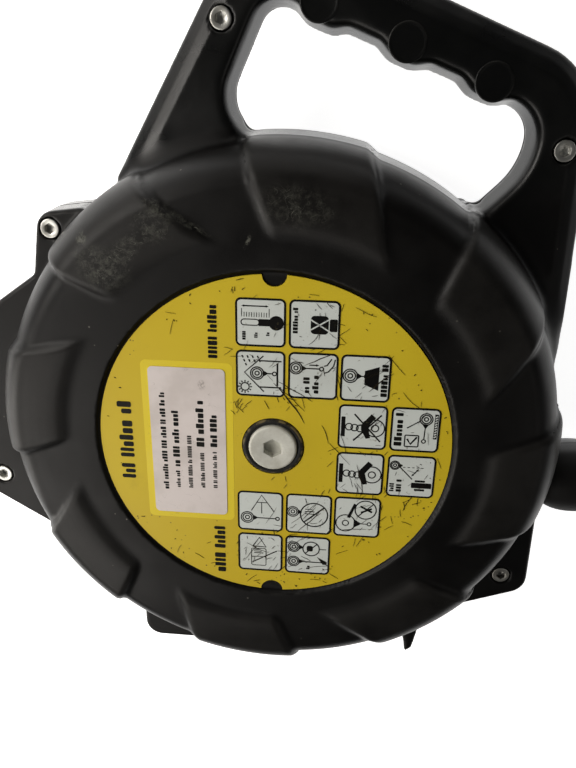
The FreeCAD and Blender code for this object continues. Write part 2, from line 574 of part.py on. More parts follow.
# ---- overload brake and locking pawls ----
def brake():
    lining_r = RATCHET_OUT_R - 1, RATCHET_ROOT_R + 0.5
    keep("rear_friction_lining", tube(0, 0, RING_Z - LINING, RING_Z, *lining_r))
    ring = rod(0, 0, RING_Z, RING_Z + RING, RATCHET_OUT_R)
    pitch = 360 / RATCHET_TEETH
    gap = []
    for k in range(RATCHET_TEETH):
        a = pitch * k + RATCHET_PHASE_DEG
        gap += [(*polar(RATCHET_TIP_R, a), 0), (*polar(RATCHET_ROOT_R, a + pitch * 0.16), 0),
                (*polar(RATCHET_ROOT_R, a + pitch * 0.71), 0), (*polar(RATCHET_TIP_R, a + pitch * 0.78), 0)]
    keep("ratchet_ring", ring.cut(slab(gap, RING_Z - 1, RING_Z + RING + 1)))
    plate_z = RING_Z + RING + LINING
    keep("front_friction_lining", tube(0, 0, RING_Z + RING, plate_z, *lining_r))
    plate_top = plate_z + PRESSURE_PLATE
    nut_z = plate_top + 2.1
    plate = tube(0, 0, plate_z, plate_top, PRESSURE_PLATE_R, RATCHET_ROOT_R)
    bolts, washers = [], []
    for deg in BRAKE_BOLT_DEG:
        x, y = polar(BRAKE_BOLT_R, deg)
        hole = rod(x, y, plate_z - 1, nut_z + 4, BRAKE_STUD_R)
        plate = plate.cut(hole)
        shank = rod(x, y, FRONT_PLATE_Z, nut_z, BRAKE_STUD_R)
        bolts.append(shank.fuse([hexagon(x, y, nut_z, nut_z + 2.5, 8)]))
        washer = Part.makeCone(5.0, 3.4, nut_z - plate_top, Vector(x, y, plate_top))
        washers.append(washer.cut(hole))
    keep("pressure_plate", plate)
    keep("brake_bolts", *bolts)
    keep("spring_washers", *washers)
    carrier = tube(0, 0, CARRIER_Z, PAWL_Z, CARRIER_R, AXLE_R + 0.6)
    pins, springs = [], []
    for name, deg in (("pawl_a", 90), ("pawl_b", 270)):
        x, y = polar(PAWL_PIVOT_R, deg)
        carrier = carrier.cut(rod(x, y, CARRIER_Z - 1, CARRIER_Z + 4, PAWL_PIN_R))
        pins.append(rod(x, y, CARRIER_Z, PAWL_Z + PAWL_THICK + 0.8, PAWL_PIN_R))
        keep(name, pawl(deg))
        sx, sy = polar(17.5, deg + 14)
        springs.append(tube(sx, sy, PAWL_Z + 0.2, PAWL_Z + 4.2, 2.6, 1.9))
    keep("pawl_carrier", carrier)
    keep("pawl_pins", *pins)
    keep("pawl_springs", *springs)


def pawl(deg):
    """Pawl drawn with its pivot on +X and its nose ahead of it, then turned to its bearing."""
    px = PAWL_PIVOT_R
    shape = [(px - 6, -6, 4), (px + 8.5, -5, 4), (px + 11.4, 19.0, 1.2), (px + 9.0, 21.5, 1.2),
             (px + 5.0, 6, 3), (px - 6, 5, 3)]
    body = slab(shape, PAWL_Z + 0.2, PAWL_Z + 0.2 + PAWL_THICK).cut(rod(px, 0, 0, 90, PAWL_PIN_R + RUN_FIT))
    return turned_about_z(body, deg)


# ---- rope outlet ----
def outlet():
    inner_x, outer_x = GUIDE_X0, GUIDE_X1
    guide = xrod(inner_x, outer_x, OUTLET_Y, HALF, GUIDE_R)
    guide = guide.fuse(xrod(COLLAR_X0 + 0.2, COLLAR_X1 - 0.2, OUTLET_Y, HALF, COLLAR_R - 0.2))
    throat = Part.makeCone(6.0, GUIDE_BORE_R, 8, Vector(inner_x, OUTLET_Y, HALF), Vector(1, 0, 0))
    guide = guide.cut([xrod(inner_x - 1, outer_x + 1, OUTLET_Y, HALF, GUIDE_BORE_R), throat])
    keep("rope_guide", guide)


# ---- rope end: bumper, ferrule, thimble and swivel ----
def rope_end(stub_start):
    far = BUMPER_X0 + BUMPER_LEN
    profile = [(BUMPER_X0, 0), (BUMPER_X0, 11.5), (BUMPER_X0 + 3, 14.6), (BUMPER_X0 + 8, 16.8),
               (BUMPER_X0 + 14, 17.4), (BUMPER_X0 + 22, 16.6), (BUMPER_X0 + 29, 14.4), (far - 1, 12.0),
               (far, 10.8), (far, 0)]
    bumper = xturned(profile, OUTLET_Y, HALF)
    ferrule_x = BUMPER_X0 + 16
    pocket = xrod(ferrule_x, far + 1, OUTLET_Y, HALF, FERRULE_R)
    keep("rope_bumper", bumper.cut([xrod(BUMPER_X0 - 1, BUMPER_X0 + 20, OUTLET_Y, HALF, ROPE_R), pocket]))
    keep("rope_stub", xrod(stub_start, ferrule_x, OUTLET_Y, HALF, ROPE_R))
    ferrule_end = far + 3
    ferrule = xrod(ferrule_x, ferrule_end, OUTLET_Y, HALF, FERRULE_R)
    end_edges = [e for e in ferrule.Edges if e.BoundBox.XMin > ferrule_end - 0.01]
    keep("ferrule", ferrule.makeChamfer(1.2, end_edges))
    eye_r = THIMBLE_R + ROPE_R
    centre = Vector(LOOP_X, OUTLET_Y, HALF)
    leave = ferrule_end
    gap = LOOP_X - leave
    apart = 2.6                 # half the distance between the eye's two legs at the ferrule
    tang = 180 - math.degrees(math.atan2(apart, gap) + math.acos(eye_r / math.hypot(gap, apart)))
    tx, ty = polar(eye_r, tang)
    upper = (LOOP_X + tx, OUTLET_Y + ty)
    lower = (LOOP_X + tx, OUTLET_Y - ty)
    z = HALF
    edges = [Part.LineSegment(Vector(leave, OUTLET_Y - apart, z), Vector(*lower, z)).toShape(),
             Part.Arc(Vector(*lower, z), centre + Vector(eye_r, 0, 0), Vector(*upper, z)).toShape(),
             Part.LineSegment(Vector(*upper, z), Vector(leave, OUTLET_Y + apart, z)).toShape()]
    wire = Part.Wire(edges)
    heading = Vector(*lower, z) - Vector(leave, OUTLET_Y - apart, z)
    section = Part.Wire(Part.makeCircle(ROPE_R, Vector(leave, OUTLET_Y - apart, z), heading))
    rope_eye = wire.makePipeShell([section], True, True)
    print("rope eye length %.1f mm, volume ratio %.4f" % (
        wire.Length, rope_eye.Volume / (math.pi * ROPE_R ** 2 * wire.Length)))
    keep("rope_eye", rope_eye.cut(ferrule))
    outer = rod(LOOP_X, OUTLET_Y, HALF - 3.4, HALF + 3.4, 10.6)
    outer = outer.cut(rod(LOOP_X, OUTLET_Y, 0, 90, 7.6))
    groove = Part.makeTorus(eye_r, ROPE_R + 0.02, centre)
    keep("thimble", outer.cut(groove))
    bow_r = 10.5
    bow = Part.makeTorus(bow_r, 3.0, Vector(LOOP_X + bow_r, OUTLET_Y, HALF), Vector(0, 1, 0))
    stem = xrod(LOOP_X + 2 * bow_r + 1, HOOK_X0 + 16, OUTLET_Y, HALF, SWIVEL_R)
    collar = xrod(LOOP_X + 2 * bow_r - 1, HOOK_X0 - 0.3, OUTLET_Y, HALF, 7.5)
    button = xrod(HOOK_X0 + 12.3, HOOK_X0 + 17, OUTLET_Y, HALF, 7.4)
    keep("swivel_eye", bow.fuse([collar, stem, button]))


# ---- snap hook ----
def hook_outline():
    x0, y0 = HOOK_X0, OUTLET_Y
    return [(x0, y0 - 11, 4), (x0 + 20, y0 - 12, 8), (x0 + 44, y0 - 20, 20), (x0 + 78, y0 - 24, 18),
            (x0 + 104, y0 - 14, 22), (x0 + 106, y0 + 16, 20), (x0 + 88, y0 + 28, 14), (x0 + 76, y0 + 22, 4),
            (x0 + 78, y0 + 13, 3), (x0 + 92, y0 + 12, 6), (x0 + 94, y0 - 8, 14), (x0 + 74, y0 - 13, 12),
            (x0 + 52, y0 - 10, 14), (x0 + 32, y0 + 1, 8), (x0 + 37, y0 + 13, 7), (x0 + 24, y0 + 20, 8),
            (x0, y0 + 11, 4)]


def snap_hook():
    x0, y0 = HOOK_X0, OUTLET_Y
    z0, z1 = HALF - HOOK_THICK / 2, HALF + HOOK_THICK / 2
    body = slab(hook_outline(), z0, z1)
    boss = xrod(x0, x0 + 12, y0, HALF, 10.5)
    body = body.fuse(boss)
    window = Part.makeBox(6.4, 17.0, HOOK_THICK + 12, Vector(x0 + 12, y0 - 8.5, HALF - HOOK_THICK / 2 - 6))
    body = body.cut([xrod(x0 - 1, x0 + 12.5, y0, HALF, SWIVEL_R + RUN_FIT), window])
    gx, gy = HOOK_GATE
    slot = slab([(gx - 9, gy - 7, 0), (gx + 12, gy - 14, 0), (gx + 12, gy + 14, 0), (gx - 9, gy + 14, 0)],
                HALF - 3.6, HALF + 3.6)
    body = body.cut([slot, rod(gx, gy, 0, 90, GATE_PIN_R), rod(*HOOK_LEVER, 0, 90, LEVER_PIN_R)])
    keep("hook_body", body)
    keep("gate_pin", rod(gx, gy, z0 - 0.8, z1 + 0.8, GATE_PIN_R))
    lx, ly = HOOK_LEVER
    keep("lever_pin", rod(lx, ly, z0 - 2.6, z1 + 2.6, LEVER_PIN_R))
    lever = slab([(x0 + 23, y0 - 20, 3), (x0 + 52, y0 - 28.5, 2), (x0 + 54, y0 - 24, 2),
                  (x0 + 37, y0 - 4, 4), (x0 + 27, y0 - 4, 4)], HALF - 8.2, HALF + 8.2)
    clearance = slab(inset(hook_outline(), -0.3), HALF - 6.25, HALF + 6.25)
    for swing in (0, -2.5, -5, -7.5, -LEVER_DEG - 0.5):
        room = clearance.copy()
        room.rotate(Vector(lx, ly, 0), Vector(0, 0, 1), swing)
        lever = lever.cut(room)
    keep("hook_lever", lever.cut(rod(lx, ly, 0, 90, LEVER_PIN_R + RUN_FIT)))
    gate = slab([(gx - 4.5, gy - 4.5, 3.5), (gx + 5, gy - 4.5, 3), (x0 + 76.8, y0 + 11.5, 2.5),
                 (x0 + 75.9, y0 + 19.0, 2.5), (gx + 4, gy + 5.0, 3), (gx - 4.5, gy + 5.0, 3.5)],
                HALF - 3.4, HALF + 3.4)
    keep("hook_gate", gate.cut(rod(gx, gy, 0, 90, GATE_PIN_R + RUN_FIT)))


def build_all():
    housing()
    shaft()
    frame()
    drum()
    stub_start = rope_lead()
    power_spring()
    brake()
    outlet()
    rope_end(stub_start)
    snap_hook()


build_all()
for name, shape in NODES.items():
    shape.exportStep("parts/%s.step" % name)
    print("%-24s solids %2d valid %s" % (name, len(shape.Solids), shape.isValid()))
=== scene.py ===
import json
import math
import random

import bmesh
import bpy
import numpy as np
from mathutils import Matrix, Vector


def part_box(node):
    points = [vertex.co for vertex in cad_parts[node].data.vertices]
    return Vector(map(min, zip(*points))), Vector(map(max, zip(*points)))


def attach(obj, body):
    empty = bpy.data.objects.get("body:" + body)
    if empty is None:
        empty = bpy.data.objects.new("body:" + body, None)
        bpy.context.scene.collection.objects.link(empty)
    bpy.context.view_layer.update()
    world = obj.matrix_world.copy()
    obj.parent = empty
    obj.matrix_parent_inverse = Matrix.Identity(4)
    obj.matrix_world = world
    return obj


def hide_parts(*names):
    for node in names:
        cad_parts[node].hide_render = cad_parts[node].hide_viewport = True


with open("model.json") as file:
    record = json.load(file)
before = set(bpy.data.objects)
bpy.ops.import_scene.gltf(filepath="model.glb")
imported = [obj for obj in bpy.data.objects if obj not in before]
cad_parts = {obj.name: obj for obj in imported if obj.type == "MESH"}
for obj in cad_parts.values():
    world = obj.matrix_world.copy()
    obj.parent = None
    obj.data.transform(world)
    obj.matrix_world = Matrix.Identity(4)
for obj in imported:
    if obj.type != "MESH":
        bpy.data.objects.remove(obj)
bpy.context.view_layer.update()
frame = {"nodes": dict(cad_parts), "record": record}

NODES = frame["nodes"]
MM = 0.001

# The housing, in millimetres, as the CAD has it.
HALF = 44.5                     # parting plane
FLANGE = 14.0                   # handle and ear face above the parting plane
Z_LABEL = 86.5
LABEL_R = 75.0
RECESS_R = 76.8
PAD_COUNT = 8
PAD_FIRST_DEG = 85.0
PAD_HALF_DEG = 11.8
PAD_INNER_R = 89.0
PAD_OUTER_R = 125.5
PAD_SKEW_CCW_DEG = 6.0
PAD_SKEW_CW_DEG = 13.0
PAD_ATTRIBUTE = "pad"           # on the shells' vertices, 1 on the raised pads
OUTLET_Y = -28.5
SCREWS = [(-99.7, 83.9), (-137.3, -38.7), (110.4, -79.4), (-24.1, 165.2), (109.3, 120.5), (-56.0, -117.9)]


# ---- materials ----
def rgba(colour):
    """A colour socket as it is, or red, green and blue with their alpha."""
    return colour if isinstance(colour, bpy.types.NodeSocket) else (*colour, 1)


class Shader:
    """A small builder for one node material in object coordinates, which are the row frame in metres."""

    def __init__(self, name):
        self.material = bpy.data.materials.new(name)
        self.material.use_nodes = True
        self.tree = self.material.node_tree
        self.tree.nodes.clear()
        self.place = self.add("TexCoord").outputs["Object"]

    def add(self, kind, **props):
        node = self.tree.nodes.new("ShaderNode" + kind)
        for key, value in props.items():
            setattr(node, key, value)
        return node

    def feed(self, node, **inputs):
        """Sets or links inputs by their name, or by their place as i0, i1 and so on."""
        for key, value in inputs.items():
            by_place = key[0] == "i" and key[1:].isdigit()
            socket = node.inputs[int(key[1:]) if by_place else key.replace("_", " ")]
            if isinstance(value, bpy.types.NodeSocket):
                self.tree.links.new(value, socket)
            else:
                socket.default_value = value

    def noise(self, scale, detail=3.0, rough=0.5, bend=0.0, stretch=None):
        where = self.place
        if stretch:
            mapping = self.add("Mapping")
            self.feed(mapping, Vector=where, Scale=stretch)
            where = mapping.outputs["Vector"]
        node = self.add("TexNoise")
        self.feed(node, Vector=where, Scale=scale, Detail=detail, Roughness=rough, Distortion=bend)
        return node.outputs["Fac"]

    def threads(self, scale, width):
        """Thin wavy hairs, broken up along their length."""
        ridge = self.calc("ABSOLUTE", self.calc("SUBTRACT", self.noise(scale, 1.5, 0.5, 0.6), 0.5))
        broken = self.level(self.noise(scale * 0.9, 2.0), 0.47, 0.56)
        return self.times(self.level(ridge, width, 0.0), broken)

    def specks(self, scale, size):
        """Small scattered dots."""
        return self.times(self.level(self.cells(scale), size * 1.6, size),
                         self.level(self.noise(scale * 0.4, 2.0), 0.56, 0.62))

    def spot(self, centre, size, turn=0):
        """Distance from an upright elliptic cylinder's axis, 1 at its wall, whose half widths size gives.

        Millimetres and degrees.
        """
        apart = self.add("VectorMath", operation="SUBTRACT")
        self.feed(apart, i0=self.place, i1=(centre[0] * MM, centre[1] * MM, 0))
        node = self.add("Mapping")
        self.feed(node, Vector=apart.outputs[0], Rotation=(0, 0, -math.radians(turn)))
        scaled = self.add("VectorMath", operation="MULTIPLY")
        self.feed(scaled, i0=node.outputs[0], i1=(1 / (size[0] * MM), 1 / (size[1] * MM), 0))
        length = self.add("VectorMath", operation="LENGTH")
        self.feed(length, i0=scaled.outputs[0])
        return length.outputs["Value"]

    def cells(self, scale):
        node = self.add("TexVoronoi")
        self.feed(node, Vector=self.place, Scale=scale)
        return node.outputs["Distance"]

    def level(self, value, low, high, to_low=0.0, to_high=1.0):
        """A smooth step between two values; low may lie above high."""
        node = self.add("MapRange", interpolation_type="SMOOTHSTEP")
        self.feed(node, i0=value, i1=low, i2=high, i3=to_low, i4=to_high)
        return node.outputs["Result"]

    def calc(self, kind, a, b=0.0):
        node = self.add("Math", operation=kind)
        self.feed(node, i0=a, i1=b)
        return node.outputs[0]

    def times(self, a, b):
        return self.calc("MULTIPLY", a, b)

    def mix(self, share, a, b):
        node = self.add("Mix", data_type="RGBA")
        self.feed(node, i0=share, i6=rgba(a), i7=rgba(b))
        return node.outputs[2]

    def bump(self, height, strength, distance, after=None):
        node = self.add("Bump")
        self.feed(node, Height=height, Strength=strength, Distance=distance)
        if after:
            self.feed(node, Normal=after)
        return node.outputs["Normal"]

    def rounded(self):
        """Shading normals that ease the CAD's sharp edges."""
        node = self.add("Bevel", samples=4)
        self.feed(node, Radius=0.3 * MM)
        return node.outputs["Normal"]

    def edges(self, low, high):
        """1 on convex edges of an evenly meshed piece."""
        return self.level(self.add("NewGeometry").outputs["Pointiness"], low, high)

    def finish(self, colour, roughness, metallic=0.0, normal=None, specular=0.5):
        shader = self.add("BsdfPrincipled")
        self.feed(shader, Base_Color=rgba(colour), Roughness=roughness, Metallic=metallic,
                  Specular_IOR_Level=specular)
        if normal:
            self.feed(shader, Normal=normal)
        out = self.add("OutputMaterial")
        self.tree.links.new(shader.outputs[0], out.inputs["Surface"])
        return self.material


WHITENED = (0.06, 0.058, 0.052)         # rubbed edges of black plastic
DUST_SPECK = (0.16, 0.15, 0.13)
WORN_PAD = (0.0092, 0.0086, 0.0078)
SCUFF = (0.095, 0.096, 0.080)
HANDLE_SHEEN_TINT = (0.0016, 0.0022, 0.0022)      # painted bluish sheen on the handle, a lighter blue-grey tint; its smoothness from use is in the roughness
HANDLE_R, HANDLE_Y = 126.5, 98.0        # the handle lies outside this radius and beyond this line


def black_plastic(name, base, light, grain_scale=2600.0, roughness=0.5, scuffs=()):
    """Moulded black plastic: fine grain, cloudy tone, worn pads, smoother walls and handle, a painted bluish
    sheen on the handle, dusty scuffs.
    """
    s = Shader(name)
    cloud = s.noise(28.0, 4.0, 0.6)
    wear = s.times(s.edges(0.505, 0.56), s.level(s.noise(90.0, 4.0, 0.7), 0.42, 0.66))
    tone = s.mix(s.level(cloud, 0.35, 0.7), base, light)
    tone = s.mix(s.times(wear, 0.4), tone, WHITENED)
    tone = s.mix(s.times(s.specks(150.0, 0.045), 0.8), tone, DUST_SPECK)
    on_pad = s.level(s.add("Attribute", attribute_name=PAD_ATTRIBUTE).outputs["Fac"], 0.25, 0.75)
    patchy = s.level(s.noise(55.0, 5.0, 0.65), 0.30, 0.62, 0.45, 1.0)
    tone = s.mix(s.times(on_pad, patchy), tone, WORN_PAD)
    if scuffs:
        hairs = s.calc("MAXIMUM", s.threads(220.0, 0.007), s.threads(380.0, 0.008))
        haze = s.times(s.level(s.noise(380.0, 6.0, 0.8), 0.42, 0.74), 0.42)
        dust = s.calc("MAXIMUM", hairs, haze)
        ragged = s.times(s.noise(70.0, 4.0, 0.65), 0.96)
    for centre, size, turn, strength in scuffs:
        near = s.level(s.calc("ADD", s.spot(centre, size, turn), ragged), 1.48, 0.75)
        cover = s.calc("MINIMUM", s.times(dust, strength), 1.0)
        tone = s.mix(s.times(near, cover), tone, SCUFF)

    # The mould left the flange's upright walls smoother, and hands the handle; the handle's colour also
    # carries a painted bluish sheen.
    facing = s.add("SeparateXYZ")
    s.feed(facing, Vector=s.add("TexCoord").outputs["Normal"])
    place = s.add("SeparateXYZ")
    s.feed(place, Vector=s.place)
    off_parting = s.calc("ABSOLUTE", s.calc("SUBTRACT", place.outputs["Z"], HALF * MM))
    wall = s.times(s.level(s.calc("ABSOLUTE", facing.outputs["Z"]), 0.5, 0.25),
                   s.level(off_parting, (FLANGE + 0.5) * MM, (FLANGE - 0.5) * MM))
    handle = s.times(s.level(s.spot((0, 0), (HANDLE_R, HANDLE_R)), 1.0, 1.03),
                     s.level(place.outputs["Y"], HANDLE_Y * MM, (HANDLE_Y + 14.0) * MM))
    rough = s.level(cloud, 0.3, 0.75, roughness - 0.06, roughness + 0.08)
    rough = s.calc("SUBTRACT", rough, s.times(wall, 0.22))
    rough = s.calc("SUBTRACT", rough, s.times(handle, 0.10))
    # painted sheen: the handle's colour is tinted lighter and bluer
    tone = s.mix(s.times(handle, 0.5), tone, HANDLE_SHEEN_TINT)
    gloss = s.calc("ADD", s.calc("MAXIMUM", s.times(wall, 0.29), s.times(handle, 0.14)), 0.21)
    return s.finish(tone, rough, 0.0, s.bump(s.noise(grain_scale, 2.0), 0.35, 0.00012), gloss)


def metal(name, colour, dark, roughness, scale=400.0, stretch=(1, 1, 1), metallic=1.0):
    """Plain metal with dark stains and fine streaks, which stretch draws out as a tool's marks."""
    s = Shader(name)
    streak = s.noise(scale, 3.0, 0.6, stretch=stretch)
    stain = s.noise(70.0, 4.0, 0.65)
    tone = s.mix(s.level(stain, 0.4, 0.72), colour, dark)
    tone = s.mix(s.times(s.level(streak, 0.5, 0.8), 0.5), tone, dark)
    normal = s.bump(streak, 0.15, 0.00008, s.rounded())
    return s.finish(tone, s.level(stain, 0.3, 0.8, roughness, roughness + 0.18), metallic, normal)


def worn_steel(name, colour, dark, bright):
    """Plated forging: hammered dapple, patchy dark film, bright rubbed edges."""
    s = Shader(name)
    stain = s.noise(80.0, 5.0, 0.65)
    tone = s.mix(s.level(stain, 0.38, 0.70), colour, dark)
    rubbed = s.times(s.edges(0.52, 0.60), s.level(s.noise(140.0, 4.0, 0.6), 0.36, 0.6))
    tone = s.mix(rubbed, tone, bright)
    rough = s.calc("SUBTRACT", s.level(stain, 0.3, 0.8, 0.36, 0.56), s.times(rubbed, 0.14))
    dapple = s.bump(s.noise(260.0, 3.0, 0.55), 0.25, 0.00025)
    return s.finish(tone, rough, 1.0, s.bump(s.noise(2400.0, 2.0), 0.25, 0.00006, dapple))


def white_plate():
    """Printed foil: a faint cloudy tone, grey rubbed marks and a few fine lines of dirt."""
    s = Shader("white_plate")
    tone = s.mix(s.level(s.noise(55.0, 4.0, 0.6), 0.35, 0.7), (0.70, 0.635, 0.61), (0.60, 0.54, 0.51))
    for centre, size, turn in (((-35.5, 36.0), (3.5, 1.4), 60), ((-30.0, 27.0), (1.6, 2.2), 0)):
        near = s.level(s.spot(centre, size, turn), 1.3, 0.5)
        smudge = s.times(near, s.level(s.noise(900.0, 4.0, 0.7), 0.40, 0.62))
        tone = s.mix(s.times(smudge, 0.7), tone, (0.20, 0.17, 0.15))
    hairs = s.times(s.threads(160.0, 0.004), 0.5)
    tone = s.mix(hairs, tone, (0.34, 0.30, 0.27))
    return s.finish(tone, 0.42, 0.0, s.bump(s.noise(800.0, 2.0), 0.06, 0.0001), 0.4)


def worn_ring():
    """Black ring seal, rubbed to a dull brass tone along its upper edge."""
    s = Shader("worn_ring")
    tone = s.mix(s.level(s.noise(70.0, 3.0), 0.35, 0.7), (0.0030, 0.0028, 0.0025), (0.0065, 0.0058, 0.0050))
    rubbed = s.times(s.level(s.spot((0, 0), (12.4, 12.4)), 0.96, 0.99),
                    s.level(s.noise(260.0, 5.0, 0.7), 0.44, 0.60))
    tone = s.mix(s.times(rubbed, 0.8), tone, (0.17, 0.13, 0.05))
    return s.finish(tone, 0.5, 0.0, s.bump(s.noise(1500.0, 2.0), 0.2, 0.0001), 0.3)


def yellow_label():
    """Printed yellow foil with dark specks and a little grime."""
    s = Shader("yellow_label")
    cloud = s.noise(9.0, 3.0)
    tone = s.mix(s.level(cloud, 0.3, 0.7), (0.58, 0.42, 0.012), (0.64, 0.49, 0.020))
    specks = s.times(s.level(s.cells(420.0), 0.20, 0.12), s.level(s.noise(60.0, 3.0), 0.56, 0.66))
    tone = s.mix(s.times(specks, 0.75), tone, (0.05, 0.035, 0.01))
    grime = s.level(s.noise(34.0, 6.0, 0.7), 0.55, 0.8)
    tone = s.mix(s.times(grime, 0.25), tone, (0.30, 0.20, 0.02))
    normal = s.bump(s.noise(700.0, 2.0), 0.08, 0.0001)
    return s.finish(tone, s.level(cloud, 0.3, 0.7, 0.36, 0.5), 0.0, normal, 0.28)


PLASTIC = {"base": (0.0014, 0.0012, 0.0011), "light": (0.0026, 0.0023, 0.0020), "roughness": 0.42}
BLACK = black_plastic("black_housing", **PLASTIC)
# Where the front is scuffed: centre, half widths, turn and strength.
SCUFFED = black_plastic("scuffed_housing", **PLASTIC, scuffs=[
    ((-68, 75.5), (14, 11), -30, 1.9), ((-47, 92), (13, 9), 40, 1.7), ((-58, 83), (13, 6), 35, 1.5),
    ((-75.7, 86.4), (3, 3), 0, 3.5), ((-37, 95.5), (18, 2), -27, 1.3), ((-46, 100), (6, 3), -27, 1.7),
    ((9, 101), (19, 11), 0, 1.0), ((-10, 88), (1.1, 4.5), -25, 6.0)])
MATT_ZINC = metal("matt_zinc", (0.60, 0.60, 0.54), (0.46, 0.45, 0.39), 0.55, scale=900.0, metallic=0.25)
MATERIALS = {
    "black_housing": BLACK,
    "yellow_label": yellow_label(),
    "white_plate": white_plate(),
    "grey_plastic": black_plastic("grey_plastic", (0.06, 0.06, 0.06), (0.09, 0.09, 0.088), roughness=0.55),
    "black_rubber": black_plastic("black_rubber", (0.0055, 0.0052, 0.0050), (0.012, 0.011, 0.010), 1800.0,
                                  0.6),
    "black_nylon": black_plastic("black_nylon", (0.016, 0.016, 0.016), (0.024, 0.024, 0.023), roughness=0.45),
}
for slot_name, colour, dark, roughness, special in (
        ("zinc_steel", (0.56, 0.56, 0.53), (0.30, 0.29, 0.26), 0.32, {}),
        ("bright_steel", (0.62, 0.62, 0.61), (0.42, 0.42, 0.41), 0.28, {"stretch": (1, 12, 12)}),
        ("stainless", (0.66, 0.66, 0.60), (0.50, 0.49, 0.43), 0.42, {"metallic": 0.75}),
        ("cast_aluminium", (0.58, 0.58, 0.59), (0.40, 0.40, 0.41), 0.45, {}),
        ("bronze", (0.50, 0.30, 0.12), (0.30, 0.17, 0.07), 0.42, {}),
        ("wire_rope", (0.50, 0.50, 0.49), (0.25, 0.24, 0.22), 0.38, {}),
        ("spring_steel", (0.22, 0.23, 0.27), (0.12, 0.11, 0.10), 0.35, {}),
        ("friction_lining", (0.16, 0.12, 0.08), (0.08, 0.06, 0.05), 0.8, {"metallic": 0.0}),
        ("ferrule_aluminium", (0.62, 0.62, 0.62), (0.42, 0.42, 0.41), 0.36, {"stretch": (1, 8, 8)}),
        ("forged_steel", (0.58, 0.57, 0.53), (0.36, 0.34, 0.29), 0.3, {})):
    MATERIALS[slot_name] = metal(slot_name, colour, dark, roughness, **special)
FORGED = worn_steel("worn_forged_steel", (0.50, 0.49, 0.45), (0.30, 0.28, 0.24), (0.74, 0.73, 0.70))
SLOT_OF = {part["node"]: part["material_slot"] for part in frame["record"]["subparts"]}
for node_name, node in NODES.items():
    node.data.materials.clear()
    node.data.materials.append(MATERIALS[SLOT_OF[node_name]])


# ---- mesh helpers ----
def piece(name, mesh, body, slot, material=None, replaces=()):
    """A visible piece that rides on a body, has a material slot and may stand in for CAD nodes."""
    obj = bpy.data.objects.new(name, mesh)
    bpy.context.scene.collection.objects.link(obj)
    mesh.materials.clear()
    mesh.materials.append(material or MATERIALS[slot])
    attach(obj, body)
    if replaces:
        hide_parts(*replaces)
    return obj


def even_mesh(node, voxel):
    """A CAD node's shape as a new, smoothly shaded mesh of even faces."""
    source = bpy.data.objects.new("source", NODES[node].data.copy())
    bpy.context.scene.collection.objects.link(source)
    remesh = source.modifiers.new("even", "REMESH")
    remesh.mode = "VOXEL"
    remesh.voxel_size = voxel * MM
    shape = source.evaluated_get(bpy.context.evaluated_depsgraph_get())
    mesh = bpy.data.meshes.new_from_object(shape)
    bpy.data.objects.remove(source)
    mesh.shade_smooth()
    return mesh


def read_vertices(mesh, field="co"):
    values = np.zeros(len(mesh.vertices) * 3, np.float32)
    mesh.vertices.foreach_get(field, values)
    return values.reshape(-1, 3).astype(float)


def read_edges(mesh):
    values = np.zeros(len(mesh.edges) * 2, np.int32)
    mesh.edges.foreach_get("vertices", values)
    return values.reshape(-1, 2)


def write_vertices(mesh, co):
    mesh.vertices.foreach_set("co", co.astype(np.float32).ravel())
    mesh.update()


def relax(co, edges, weight, rounds):
    """Moves each vertex its weight's share of the way to its neighbours' mean, in every round."""
    a, b = edges[:, 0], edges[:, 1]
    n = len(co)
    count = np.maximum(np.bincount(a, minlength=n) + np.bincount(b, minlength=n), 1)
    for _ in range(rounds):
        total = np.stack([np.bincount(a, co[b, k], n) + np.bincount(b, co[a, k], n) for k in range(3)], 1)
        co = co + weight[:, None] * (total / count[:, None] - co)
    return co


def smoothstep(x, low, high):
    t = np.clip((x - low) / (high - low), 0, 1)
    return t * t * t * (t * (6 * t - 15) + 10)


# ---- the dome's skin ----
def quarter(centre_r, centre_h, across, high, count=40):
    return [(centre_r + across * math.cos(a), centre_h + high * math.sin(a))
            for a in np.linspace(0, math.pi / 2, count)]


# The dome's section over a pad and between pads, as (radius, height above the parting plane), from the
# parting line to the label's recess.  The two lines run in step.
PAD_LINE = [(125.5, 0), (124.75, 9)] + quarter(109.2, 18, 14.8, 25.6) + [
    (106, 44.05), (102, 44.4), (98, 44.5), (94, 44.3), (91, 44.1), (89, 43.95), (84, 43.6), (80, 43.3),
    (76.8, 43.0)]
GAP_LINE = [(123.1, 0), (122.35, 9)] + quarter(107.6, 18, 14.0, 23.6) + [
    (105, 41.95), (102, 42.25), (98, 42.5), (94, 42.7), (91, 42.8), (89, 42.85), (84, 42.95), (80, 43.0),
    (76.8, 43.0)]
PAD_EDGE = 5.6                  # width of a pad's soft edge
INNER_EDGE = 10.0               # width of its soft inner end
FLANK_OUTWARD = 0.75            # below the flange's top, only walls that face outward belong to the dome
REACH_TOP, REACH_FLANK = 5.0, 2.6       # how far a vertex may lie from the section it is put on
SAME_WAY = 0.15                 # least cosine between its normal and the section's


def polar(radius, degrees):
    return np.array([radius * math.cos(math.radians(degrees)), radius * math.sin(math.radians(degrees))])


